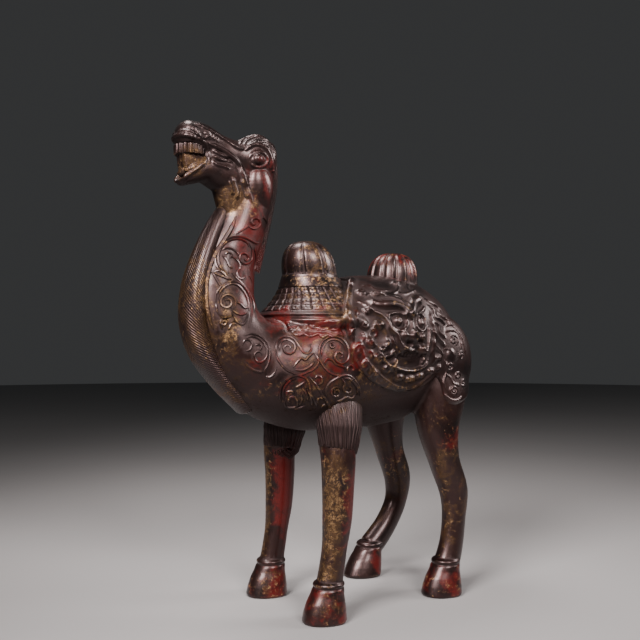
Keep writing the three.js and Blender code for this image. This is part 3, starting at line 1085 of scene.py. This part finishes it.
def haunch_scrolls(carving, put):
    """Fine scrolls on the corner of the cloth over the haunch, round one smooth boss."""
    fine, eye = 0.8, 8
    for u, v, reach, start, turns, squash in HAUNCH_WHORLS:
        carving.ridge(put(whorl(u, v, eye, reach, start, turns, squash)), fine, fine)
    for line in HAUNCH_STEMS:
        carving.ridge(put(flowing(line, 16)), fine, fine)
    carving.mound(put([(1305, 955)])[0], (5, 6.5), 1.2, top=0.7)


STRAY_LOCKS = [
    [(300, 175), (390, 175), (450, 215), (520, 230), (600, 225)],
    [(620, 130), (700, 160), (700, 225), (640, 262), (560, 262)],
    [(230, 345), (290, 360), (330, 400), (400, 410)],
    [(250, 430), (240, 520), (280, 560)],
    [(700, 250), (790, 270), (860, 250), (940, 300)],
    [(440, 600), (420, 660), (480, 700), (440, 760)],
    [(840, 120), (800, 180), (850, 240), (900, 210)],
    [(300, 700), (340, 740), (300, 800), (330, 880)],
    [(380, 900), (420, 930), (400, 1000)],
    [(620, 1120), (680, 1150), (650, 1210)],
]
SKIRT = [
    (380, 400), (520, 380), (700, 370), (900, 360), (1080, 350), (1110, 620), (1045, 590),
    (1003, 612), (962, 622), (905, 598), (872, 620), (830, 625), (790, 582), (745, 602),
    (685, 615), (620, 578), (565, 602), (495, 580), (430, 500),
]
ROPE = [(158, 60), (132, 160), (110, 280), (98, 400), (104, 500), (130, 610), (150, 690)]
BORDER = [
    (330, 985), (400, 1075), (480, 1160), (535, 1215), (600, 1262), (680, 1306), (765, 1330),
    (855, 1325), (925, 1290), (990, 1245), (1050, 1200), (1095, 1150), (1140, 1180),
]
# Heights in mm over the body: what lies under it and isn't kept, the cloth, and the skirt
SUNK = -1.6
CLOTH_THICK = 3.8
SKIRT_THICK = 2.3
LEAST_CLOTH = 0.9


def skirt(carving, put):
    """Lappets under the saddle's roll, over a scalloped double line."""
    within = np.clip(carving.inside(put(SKIRT)) + 0.5, 0, 1)
    carving.height = np.maximum(carving.height, SUNK + SKIRT_THICK * within)
    for spot in LAPPETS:
        place = put([spot])[0]
        carving.mound(place, (4.1, 3.9), 1.3, square=5)
        carving.mound(place, (2.4, 2.2), -0.6, square=4)
    for drop, high in ((0, 0.9), (-34, 0.7)):
        line = flowing([(u, v + drop) for u, v in SCALLOPS], 60)
        carving.ridge(put(line), 0.8, high, thin_ends=False)


def rope(carving, put):
    """A twisted rope between two cords, along the front edge of the cloth."""
    middle = flowing(ROPE, 40)
    radius, pitch = 3.0, 3.4
    cut, away, run, _ = carving.near(put([(u + 32, v) for u, v in middle]), 3.4)
    strands = 0.75 + 0.25 * np.cos(2 * math.pi * (run + 0.9 * away) / pitch)
    round_top = np.clip(1 - (away / radius) ** 2, 0, 1) ** 0.6
    carving.height[cut] += 2.4 * round_top * strands
    for shift in (72, -2):
        carving.ridge(put([(u + shift, v) for u, v in middle]), 0.8, 0.9)


def border(carving, put):
    """A raised cord inside the lower edge of the cloth, and leaf blades at its front."""
    carving.ridge(put(flowing(BORDER, 40)), 1.3, 1.6)
    for root, tip, foot in BLADES:
        for end in (root, foot):
            bent = ((end[0] + tip[0]) / 2, (end[1] + tip[1]) / 2 - 8)
            carving.ridge(put(flowing([end, bent, tip], 10)), 1.0, 1.4)
        middle = ((root[0] + foot[0]) / 2, (root[1] + foot[1]) / 2)
        carving.ridge(put([middle, tip]), 2.2, 1.2)


def curls_and_locks(carving, put):
    """The mane round a mask: curls, locks in pairs, and stray locks."""
    for u, v, wide, tall, hand in CURLS:
        place, edge = put([(u, v), (u + wide, v)])
        reach = (min(max(abs(edge[0] - place[0]), 2.8), 7.0), tall / 11.2 * 0.79)
        carving.curl(place, reach, 2.6, hand=hand)
    for line in LOCKS:
        carving.ridge(put(flowing(line, 16)), 1.7, 1.5)
        carving.ridge(put(flowing([(u + 22, v + 8) for u, v in line], 16)), 0.9, 0.9)
    for line in STRAY_LOCKS:
        carving.ridge(put(flowing(line, 16)), 1.3, 1.2)


def flank_carving(ground):
    """Heights of one flank: the same pattern serves both sides."""
    carving = Carving((-76, -50), (136, 97), 0.55)

    def laid(crop, proud):
        return lambda points: [unrolled(p) for p in traced(ground, crop, points, proud)]

    face = laid("face", 5)
    low = laid("cloth", 2.2)
    depth = carving.inside(low(CLOTH_EDGE) + CLOTH_BACK)
    cloth = np.clip(depth / 1.1 + 0.5, 0, 1)
    carving.height = SUNK + CLOTH_THICK * (cloth * cloth * (3 - 2 * cloth))
    skirt(carving, laid("shoulder", 1))
    rope(carving, low)
    border(carving, low)
    lion_face(carving, face)
    curls_and_locks(carving, low)
    carving.height = blurred(carving.height, 1)
    least = np.maximum(carving.height, LEAST_CLOTH)
    carving.height = np.where(cloth > 0.9, least, carving.height)
    haunch_scrolls(carving, low)
    return carving


# Chased scrolls on the neck and the shoulders

NECK_SCROLLS = [
    # upper scroll and its stem
    whorl(868, 318, 18, 84, 40, 1.35),
    [(965, 250), (1000, 300), (1010, 380), (990, 450)],
    [(800, 340), (760, 380), (700, 420), (650, 450)],
    # medallion in the middle of the neck: two rings, a scroll and leaves in them
    [(932, 540), (890, 562), (830, 530), (770, 500), (700, 486), (620, 490), (540, 516),
     (480, 562), (436, 630), (412, 705), (416, 785), (444, 850), (505, 912), (566, 945)],
    [(800, 600), (772, 548), (705, 514), (620, 516), (550, 542), (500, 588), (460, 652),
     (446, 722), (456, 800), (492, 862), (540, 912), (600, 985)],
    [(798, 560), (834, 622), (838, 702), (818, 772), (768, 802), (714, 786), (690, 740),
     (704, 690), (744, 676), (782, 700), (790, 742), (768, 764), (742, 742)],
    [(480, 642), (540, 616), (604, 628), (652, 662), (684, 705)],
    [(490, 702), (540, 756), (566, 815), (610, 852)],
    [(588, 712), (640, 738), (682, 790), (694, 850), (664, 905), (668, 950), (715, 972),
     (748, 945), (735, 915)],
    [(520, 690), (560, 668), (600, 690), (580, 740)],
    # leaf at the front
    [(365, 892), (398, 934), (438, 1004), (482, 1058), (560, 1020), (604, 985), (545, 950),
     (502, 900), (440, 880), (367, 903)],
    [(372, 898), (480, 942), (586, 984)],
    # lower medallion
    [(415, 1250), (420, 1150), (462, 1080), (522, 1028), (600, 1002), (682, 1020), (742, 1070),
     (792, 1150), (822, 1250), (832, 1350), (822, 1450), (800, 1540)],
    [(440, 1215), (472, 1110), (532, 1056), (600, 1030), (672, 1050), (722, 1100), (766, 1172),
     (792, 1260), (800, 1340)],
    [(600, 902), (650, 962), (712, 1020), (772, 1092), (812, 1160), (850, 1260), (866, 1360)],
    [(415, 1250), (430, 1340), (470, 1400), (540, 1420), (610, 1400)],
    whorl(545, 1245, 24, 108, 200, 1.6),
    [(652, 1245), (705, 1268), (750, 1312), (794, 1302)],
    [(598, 1332), (650, 1372), (722, 1392), (784, 1360)],
    [(620, 1402), (662, 1472), (722, 1502), (764, 1460), (792, 1380)],
    whorl(512, 1480, 10, 42, 120, 1.4),
    [(480, 1440), (470, 1500), (490, 1568)],
    [(560, 1568), (600, 1500), (650, 1500)],
    [(790, 930), (820, 980), (830, 1040)],
    [(860, 600), (880, 700), (870, 800), (850, 900)],
]
SHOULDER_SCROLLS = [
    # A: under the neck
    [(-60, 590), (0, 565), (70, 577), (142, 616), (202, 682), (232, 762), (228, 852), (206, 930),
     (172, 1000), (190, 1062), (240, 1064), (282, 1022), (312, 950)],
    [(-50, 622), (0, 600), (62, 606), (122, 642), (172, 702), (197, 772), (192, 832), (152, 882),
     (100, 897), (60, 862), (50, 812), (76, 776), (120, 782), (140, 822)],
    [(58, 702), (98, 688), (132, 722), (122, 762)],
    [(-90, 700), (-60, 640), (-10, 640), (20, 690), (0, 750), (-50, 770)],
    [(-60, 900), (0, 960), (80, 1000), (150, 1010)],
    # B: with its long leaf
    [(304, 800), (300, 720), (322, 652), (370, 612), (440, 600), (512, 630), (552, 680),
     (592, 742), (632, 790), (682, 790), (712, 742), (700, 700)],
    [(345, 760), (342, 722), (362, 662), (420, 636), (482, 656), (522, 702), (512, 770),
     (462, 802), (405, 782), (392, 730), (430, 700), (468, 716), (462, 748)],
    [(304, 800), (322, 860), (362, 922), (422, 982), (502, 1022), (582, 1042), (662, 1012),
     (742, 972), (792, 900), (782, 840), (742, 792)],
    [(500, 962), (560, 882), (600, 852), (640, 872), (692, 822), (742, 792)],
    [(520, 985), (600, 990), (690, 950), (750, 890)],
    # C: under the scallops
    [(800, 860), (800, 790), (815, 702), (870, 632), (950, 602), (1032, 612), (1100, 660),
     (1140, 742), (1150, 822), (1120, 892), (1070, 916), (1010, 890), (984, 842), (1010, 782),
     (1060, 790), (1072, 832), (1045, 850)],
    [(832, 830), (830, 780), (852, 712), (900, 652), (960, 632), (1032, 646), (1086, 702),
     (1112, 772)],
    whorl(958, 702, 8, 40, 180, 1.3),
    [(800, 860), (818, 892), (862, 962), (932, 1022), (1010, 1050), (1092, 1042)],
    [(870, 925), (874, 890), (902, 860), (950, 872), (1000, 922), (1060, 942), (1100, 962),
     (1112, 1010)],
    [(1130, 1010), (1132, 962), (1170, 932), (1204, 970), (1182, 1002)],
    # D: low on the breast
    [(360, 1370), (350, 1320), (352, 1222), (392, 1142), (452, 1082), (532, 1052), (602, 1062),
     (662, 1102), (692, 1182), (702, 1262), (742, 1332), (772, 1402), (740, 1440)],
    [(388, 1330), (386, 1222), (422, 1152), (482, 1100), (545, 1080)],
    [(400, 1335), (412, 1402), (472, 1422), (540, 1402), (548, 1342), (510, 1300), (460, 1310),
     (448, 1350), (482, 1372)],
    [(420, 1290), (432, 1242), (480, 1230), (520, 1260)],
    [(522, 1192), (580, 1162), (642, 1120)],
    [(640, 1400), (560, 1430), (500, 1432)],
    [(590, 1252), (602, 1332), (570, 1390)],
    [(660, 1202), (702, 1302), (722, 1402)],
    [(600, 1180), (650, 1250), (670, 1340)],
    # stem from the breast to the elbow, with curls on it
    [(680, 1062), (762, 1152), (832, 1252), (882, 1332), (952, 1442), (1032, 1492), (1132, 1502),
     (1222, 1452)],
    [(750, 1082), (792, 1052), (832, 1082), (832, 1132), (790, 1162)],
    [(790, 1382), (780, 1332), (820, 1310), (852, 1332)],
    [(830, 1430), (850, 1390), (890, 1400)],
    # E: over the elbow
    [(890, 1302), (880, 1220), (920, 1140), (990, 1090), (1070, 1052), (1150, 1052),
     (1222, 1112), (1266, 1192), (1275, 1290)],
    [(1092, 1082), (1152, 1086), (1212, 1142), (1246, 1192), (1250, 1270)],
    whorl(1000, 1248, 14, 66, 100, 1.6),
    [(1060, 1082), (1102, 1152), (1082, 1202), (1110, 1242), (1160, 1242), (1172, 1202),
     (1140, 1180)],
    [(1000, 1352), (1060, 1332), (1112, 1302), (1182, 1312), (1222, 1272)],
    [(890, 1302), (902, 1382), (962, 1462), (1042, 1490)],
    [(1060, 1400), (1120, 1420), (1190, 1400), (1240, 1350)],
]
BEARD_CORD = [
    (650, 240), (618, 330), (575, 420), (505, 530), (440, 630), (388, 730), (345, 840),
    (318, 950), (303, 1080), (302, 1200), (315, 1320), (345, 1440), (385, 1560),
]


def mirrored(ground, places):
    """The same places on the right side, laid on its own skin."""
    found = []
    for place in places:
        near, _, _, _ = ground.find_nearest(Vector((place.x, -place.y, place.z)))
        found.append(near)
    return found


def chasing(ground):
    runs = {-1: [], 1: []}
    for crop, lines in (("neck", NECK_SCROLLS), ("shoulder", SHOULDER_SCROLLS)):
        for line in lines:
            places = traced(ground, crop, flowing(line, 5 * len(line)))
            if len(places) > 3:
                runs[-1].append((even(places, 0.9), 1.0))
    cord = traced(ground, "neck", flowing(BEARD_CORD, 60), 0.5)
    runs[-1].append((even(cord, 1.5), 1.9))
    runs[1] = [(mirrored(ground, places), thick) for places, thick in runs[-1]]
    pieces = []
    for name, side in (("scrolls_left", -1), ("scrolls_right", 1)):
        piece = cords(name, runs[side])
        proud = []
        for corner in piece.data.vertices:
            near, normal, _, _ = ground.find_nearest(corner.co)
            proud.append((corner.co - near).dot(normal) / MM)
        proud = np.array(proud)
        # Painted shade: each cord is darkened low on its flanks near the skin, and a little all
        # over; worn on top
        marked(piece, "lacquer_and_painted_shade", np.clip((0.55 - proud) * 3 + 0.3, 0, 1))
        marked(piece, "worn", np.clip((proud - 0.8) * 0.8, 0, 0.25))
        pieces.append(piece)
    return pieces, [place for side in SIDES for places, _ in runs[side] for place in places]


# Finish


class Wire:
    """A shader socket that can be written into expressions."""

    tree = None

    def __init__(self, socket):
        self.socket = socket

    @classmethod
    def node(cls, kind, settings=None, **sockets):
        made = cls.tree.nodes.new("ShaderNode" + kind)
        for name, value in (settings or {}).items():
            setattr(made, name, value)
        for name, value in sockets.items():
            cls.fill(made.inputs[name.replace("_", " ")], value)
        return made

    @classmethod
    def fill(cls, socket, value):
        if isinstance(value, Wire):
            cls.tree.links.new(value.socket, socket)
        elif isinstance(value, (tuple, list)) and len(value) == 3 and socket.type == "RGBA":
            socket.default_value = (*value, 1)
        else:
            socket.default_value = value

    @classmethod
    def sum(cls, operation, *values):
        made = cls.tree.nodes.new("ShaderNodeMath")
        made.operation = operation
        for socket, value in zip(made.inputs, values):
            cls.fill(socket, value)
        return Wire(made.outputs[0])

    def __add__(self, other):
        return Wire.sum("ADD", self, other)

    __radd__ = __add__

    def __sub__(self, other):
        return Wire.sum("SUBTRACT", self, other)

    def __rsub__(self, other):
        return Wire.sum("SUBTRACT", other, self)

    def __mul__(self, other):
        return Wire.sum("MULTIPLY", self, other)

    __rmul__ = __mul__

    def clamp(self):
        return Wire.sum("MINIMUM", Wire.sum("MAXIMUM", self, 0.0), 1.0)

    def ease(self, low, high):
        """0 below low and 1 above high, with a smooth way between."""
        made = Wire.node("MapRange", {"interpolation_type": "SMOOTHSTEP"})
        Wire.fill(made.inputs[0], self)
        made.inputs[1].default_value = low
        made.inputs[2].default_value = high
        return Wire(made.outputs[0])


def mixed(share, under, over, way="MIX"):
    made = Wire.tree.nodes.new("ShaderNodeMix")
    made.data_type = "RGBA"
    made.blend_type = way
    made.clamp_factor = True
    Wire.fill(made.inputs[0], share)
    Wire.fill(made.inputs[6], under)
    Wire.fill(made.inputs[7], over)
    return Wire(made.outputs[2])


def grain(scale, detail=3, rough=0.55, distort=0.0):
    place = Wire(Wire.node("TexCoord").outputs["Object"])
    made = Wire.node("TexNoise", Scale=scale, Detail=detail, Roughness=rough, Distortion=distort)
    Wire.fill(made.inputs["Vector"], place)
    return Wire(made.outputs[0])


def attribute(name):
    return Wire(Wire.node("Attribute", {"attribute_name": name}).outputs["Fac"])


def gilt_copper():
    """Brown-black lacquer over worn gilding, with red patches, pits and a hard gloss, and painted
    shade in the recesses and underneath.
    """
    made = bpy.data.materials.new("gilt_copper")
    made.use_nodes = True
    Wire.tree = made.node_tree
    shader = made.node_tree.nodes["Principled BSDF"]
    large = grain(22, 4, 0.6, 0.4)
    patch = grain(60, 5, 0.68, 0.6)
    rust = grain(43, 5, 0.66, 0.8)
    spots = grain(240, 4, 0.72, 0.5)
    speck = grain(560, 3, 0.72)
    fine = grain(1500, 2, 0.6)
    lacquer_and_painted_shade = attribute("lacquer_and_painted_shade")
    worn = attribute("worn")
    gilded = attribute("gilded")
    ruddy = attribute("ruddy")
    hair = attribute("hair")
    # Strokes of hair, dark between one count and the next
    haired = hair.ease(HAIR_COUNT * 0.4, HAIR_COUNT * 0.5)
    across = Wire.sum("FRACT", hair + large * 1.6)
    stroke = Wire.sum("ABSOLUTE", across * 2.0 - 1.0).ease(0.30, 0.80) * haired

    # Lacquer, the red in it, the thin gilding under it and the bare gold, from the bottom up
    umber = (0.0085, 0.0033, 0.0027)
    black = (0.0012, 0.0009, 0.0009)
    red = (0.066, 0.0034, 0.0027)
    olive = (0.062, 0.034, 0.0145)
    gilt = (0.37, 0.225, 0.11)
    colour = mixed(large.ease(0.44, 0.60), umber, black)
    scarlet = (ruddy + rust * 2.4 + spots * 0.9 - 2.02).ease(0.0, 0.50)
    colour = mixed((scarlet * 0.92).clamp(), colour, red)
    thin = (gilded + patch * 2.2 + spots * 1.3 - 2.16).ease(0.0, 0.5)
    bare = (gilded * 0.8 + worn * 0.6 + spots * 2.4 + large * 1.3 - 2.38).ease(0.0, 0.42)
    rubbed = (bare * speck.ease(0.43, 0.55)).clamp()
    colour = mixed((thin * 0.85).clamp(), colour, olive)
    colour = mixed((rubbed * 0.9).clamp(), colour, gilt)
    pits = speck.ease(0.50, 0.60) * fine.ease(0.36, 0.56) * (thin * 0.7 + 0.2)
    # Painted shade in recesses and underneath, with the dark lacquer, and the pits and strokes of
    # hair turn the colour black
    colour = mixed((lacquer_and_painted_shade * 0.96 + pits * 0.9 + stroke * 0.75).clamp(), colour, black)
    shine = (0.22 + speck * 0.26 + lacquer_and_painted_shade * 0.35 + rubbed * 0.10).clamp()
    Wire.fill(shader.inputs["Base Color"], colour)
    Wire.fill(shader.inputs["Roughness"], shine)
    Wire.fill(shader.inputs["Metallic"], (rubbed * 0.7 + thin * 0.42).clamp())
    Wire.fill(shader.inputs["Coat Weight"], (0.22 - lacquer_and_painted_shade * 0.22 - stroke * 0.22).clamp())
    shader.inputs["Coat Roughness"].default_value = 0.2
    shader.inputs["Specular IOR Level"].default_value = 0.5
    shader.inputs["Specular Tint"].default_value = (1.0, 0.68, 0.66, 1)
    height = spots * 0.3 + speck * 0.3 + fine * 0.06 - pits * 0.3 - stroke * 2.0
    bump = Wire.node("Bump", Strength=0.5, Distance=0.0007, Height=height)
    Wire.fill(shader.inputs["Normal"], Wire(bump.outputs[0]))
    return made


# Studio


def floor():
    clear()
    bpy.ops.mesh.primitive_circle_add(vertices=96, radius=4, fill_type="NGON")
    ground = bpy.context.object
    ground.name = "floor"
    paint = bpy.data.materials.new("pale_floor")
    paint.use_nodes = True
    Wire.tree = paint.node_tree
    shade = paint.node_tree.nodes["Principled BSDF"]
    cloudy = grain(1.5, 2)
    Wire.fill(shade.inputs["Base Color"], mixed(cloudy, (0.26, 0.26, 0.26), (0.29, 0.29, 0.29)))
    shade.inputs["Roughness"].default_value = 0.85
    ground.data.materials.append(paint)


LIGHT_COLOUR = (1.0, 0.91, 0.89)
LIGHT_AIM = (-0.01, 0, 0.29)
# Name, place, size, power, and how wide in degrees the light fans out
LAMPS = [
    ("key", (-0.95, -0.42, 0.92), 0.50, 4.9, 56),
    ("front", (-0.20, -1.30, 1.10), 0.52, 2.6, 50),
    ("back", (1.10, -0.55, 0.90), 0.50, 2.1, 58),
    ("top", (-0.15, 0.30, 1.25), 0.50, 2.2, 70),
]


def lights():
    world = bpy.context.scene.world or bpy.data.worlds.new("studio")
    bpy.context.scene.world = world
    world.use_nodes = True
    sky = world.node_tree.nodes["Background"]
    sky.inputs[0].default_value = (0.84, 0.86, 0.88, 1)
    sky.inputs[1].default_value = 0.045
    for name, place, size, power, fan in LAMPS:
        clear()
        bpy.ops.object.light_add(type="AREA", location=place)
        lamp = bpy.context.object
        lamp.name = name
        lamp.data.shape = "SQUARE"
        lamp.data.size = size
        lamp.data.energy = power
        lamp.data.spread = math.radians(fan)
        lamp.data.color = LIGHT_COLOUR
        aim = Vector(LIGHT_AIM) - Vector(place)
        lamp.rotation_euler = aim.to_track_quat("-Z", "Y").to_euler()


def camera():
    clear()
    turn = (math.radians(90), 0, math.radians(VIEW_TURN))
    bpy.ops.object.camera_add(location=VIEW_PLACE, rotation=turn)
    seen = bpy.context.object
    seen.data.lens = LENS
    seen.data.sensor_width = 36
    seen.data.shift_y = LENS_RISE
    bpy.context.scene.camera = seen


def dress(piece, material):
    piece.data.materials.clear()
    piece.data.materials.append(material)
    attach(piece, "root")


# Where the gilding shows, on both sides: along, up, reach along, reach up, how much
GILDED = [
    (-20, 180, 62, 26, 0.66),
    (40, 150, 70, 20, 0.5),
    (-17, 290, 34, 30, 0.5),
    (-24, 245, 28, 26, 0.56),
    (72, 290, 30, 20, 0.35),
    (-92, 326, 22, 20, 0.74),
    (-107, 250, 10, 64, 0.74),
    (-124, 240, 13, 60, 0.78),
    (-30, 14, 34, 14, 0.5),
    (98, 14, 40, 14, 0.42),
    (-40, 208, 44, 26, 0.62),
    (20, 200, 34, 24, 0.5),
    (44, 186, 34, 16, 0.5),
    (-100, 180, 30, 30, 0.6),
    (100, 100, 40, 60, 0.5),
    (-128, 352, 14, 14, 0.75),
    (30, 225, 60, 40, 0.3),
]
RUDDY = [
    (-82, 280, 24, 62, 0.84),
    (-40, 210, 56, 40, 0.78),
    (-14, 90, 34, 70, 0.78),
    (-30, 12, 34, 20, 0.7),
    (100, 14, 44, 20, 0.75),
    (-72, 345, 18, 30, 0.6),
    (98, 100, 44, 80, 0.35),
    (72, 290, 34, 26, 0.6),
]
# How far across the figure a spot reaches, in mm: through both sides
SPOT_ACROSS = 200


def around(places, table):
    """How near each place is to the spots of a table."""
    total = np.zeros(len(places))
    for x, z, along, up, much in table:
        away = (((places - (x, 0, z)) / (along, SPOT_ACROSS, up)) ** 2).sum(axis=1)
        total = np.maximum(total, much * np.exp(-(away**1.5)))
    return total


def vertex_rows(piece, name):
    """A property of every vertex, as rows of three."""
    rows = np.empty(len(piece.data.vertices) * 3, np.float32)
    piece.data.vertices.foreach_get(name, rows)
    return rows.reshape(-1, 3)


# Levels in mm between which a leg is rubbed: the upper end fades out over the first distance
LEG_TOP, LEG_TOP_FADE = 150, 25
LEG_FOOT, LEG_FOOT_FADE = 22, 12
HIND_LEGS_X, HIND_LEGS_SHARE = 40, 0.75


def worn_colours(piece):
    """Marks where the skin is gilded or red."""
    places = vertex_rows(piece, "co").astype(float)
    normals = vertex_rows(piece, "normal")
    drawn = places / MM - (CENTRE_X, 0, 0)
    level = drawn[:, 2]
    # On the legs it is the side turned forward and out that is rubbed to the gold
    outward = -0.85 * normals[:, 0] + 0.5 * normals[:, 1] * np.sign(places[:, 1])
    leg = np.clip((LEG_TOP - level) / LEG_TOP_FADE, 0, 1)
    leg *= np.clip((level - LEG_FOOT) / LEG_FOOT_FADE, 0, 1)
    leg *= np.where(drawn[:, 0] > HIND_LEGS_X, HIND_LEGS_SHARE, 1)
    rubbed = leg * np.clip(outward, 0, 1)
    marked(piece, "gilded", np.maximum(around(drawn, GILDED), rubbed * 0.8))
    marked(piece, "ruddy", around(drawn, RUDDY) * (1 - 0.7 * rubbed))


def softened(piece, places, rounds=8):
    """The places of a piece's vertices, each drawn towards its neighbours."""
    count = len(places)
    edges = np.empty(len(piece.data.edges) * 2, np.int32)
    piece.data.edges.foreach_get("vertices", edges)
    a, b = edges.reshape(-1, 2).T
    degree = np.maximum(np.bincount(edges, minlength=count), 1)
    soft = places.copy()
    for _ in range(rounds):
        for axis in range(3):
            here = soft[:, axis]
            total = np.bincount(a, here[b], count) + np.bincount(b, here[a], count)
            soft[:, axis] = 0.5 * here + 0.5 * total / degree
    return soft


def cavities(piece, lines):
    """Marks where the skin is sunk or proud, with painted shade and the dark lacquer in its
    recesses, along the lines and underneath.
    """
    places = vertex_rows(piece, "co").astype(float)
    normals = vertex_rows(piece, "normal")
    sunk = ((softened(piece, places) - places) * normals).sum(axis=1) / MM
    # Painted shade, with the dark lacquer, where the skin is sunk
    lacquer_and_painted_shade = np.clip((sunk - 0.03) * 8, 0, 1)
    # Painted shade, with the dark lacquer: skin turned downwards is darkened under the belly, the
    # chin and the neck
    above_legs = np.clip((places[:, 2] / MM - 120) / 20, 0, 1)
    lacquer_and_painted_shade = np.maximum(lacquer_and_painted_shade, np.clip(-1.5 * normals[:, 2] - 0.1, 0, 0.9) * above_legs)
    # Painted shade, with the dark lacquer, along the foot of each raised line
    if lines:
        tree = KDTree(len(lines))
        for number, place in enumerate(lines):
            tree.insert(place, number)
        tree.balance()
        away = np.array([tree.find(place)[2] for place in places]) / MM
        lacquer_and_painted_shade = np.maximum(lacquer_and_painted_shade, 0.95 * np.exp(-((away / 1.9) ** 2)))
    marked(piece, "lacquer_and_painted_shade", lacquer_and_painted_shade)
    marked(piece, "worn", np.clip((-sunk - 0.08) * 2.0, 0, 0.7))


def parted(whole, height):
    """The figure above and below a level, each closed, with a millimetre shared."""
    halves = []
    for name, level, inner in (
        ("camel_head", height - 0.5, True),
        ("camel_body", height + 0.5, False),
    ):
        half = whole.copy()
        half.data = whole.data.copy()
        bpy.context.collection.objects.link(half)
        hold(named(half, name))
        bpy.ops.object.mode_set(mode="EDIT")
        bpy.ops.mesh.select_all(action="SELECT")
        bpy.ops.mesh.bisect(
            plane_co=(0, 0, level * MM),
            plane_no=(0, 0, 1),
            use_fill=True,
            clear_inner=inner,
            clear_outer=not inner,
        )
        bpy.ops.object.mode_set(mode="OBJECT")
        halves.append(half)
    bpy.data.objects.remove(whole)
    return halves


def thinned(piece, most):
    """A mesh with no more triangles than an export keeps."""
    piece.data.calc_loop_triangles()
    count = len(piece.data.loop_triangles)
    if count > most:
        finish_with(piece, "DECIMATE", decimate_type="COLLAPSE", ratio=most / count)
    return piece


# Where the neck is cut, in mm, the most triangles of each half, and the hems of the cuffs
NECK_CUT = 300
MOST_BODY, MOST_HEAD = 190_000, 120_000
LEFT_HEM, RIGHT_HEM = 134, 126

camera()
floor()
lights()
metal = gilt_copper()
whole, ground = casting()
flank = flank_carving(ground)
cloths = [sheet("cloth_left", flank, ground, -1), sheet("cloth_right", flank, ground, 1)]
head, body = parted(whole, NECK_CUT)
thinned(body, MOST_BODY)
thinned(head, MOST_HEAD)
teeth_and_tongue = mouth()
pieces = [body, head, *cloths, teeth_and_tongue, saddle(), beard(), mane(), tail()]
pieces += [cuff("cuff_left", -1, LEFT_HEM), cuff("cuff_right", 1, RIGHT_HEM)]
scrolls, lines = chasing(ground)
pieces += scrolls
for piece in pieces:
    worn_colours(piece)
cavities(body, lines)
cavities(head, [])
cavities(teeth_and_tongue, [])
for piece in pieces:
    dress(smooth(piece), metal)
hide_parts("camel")
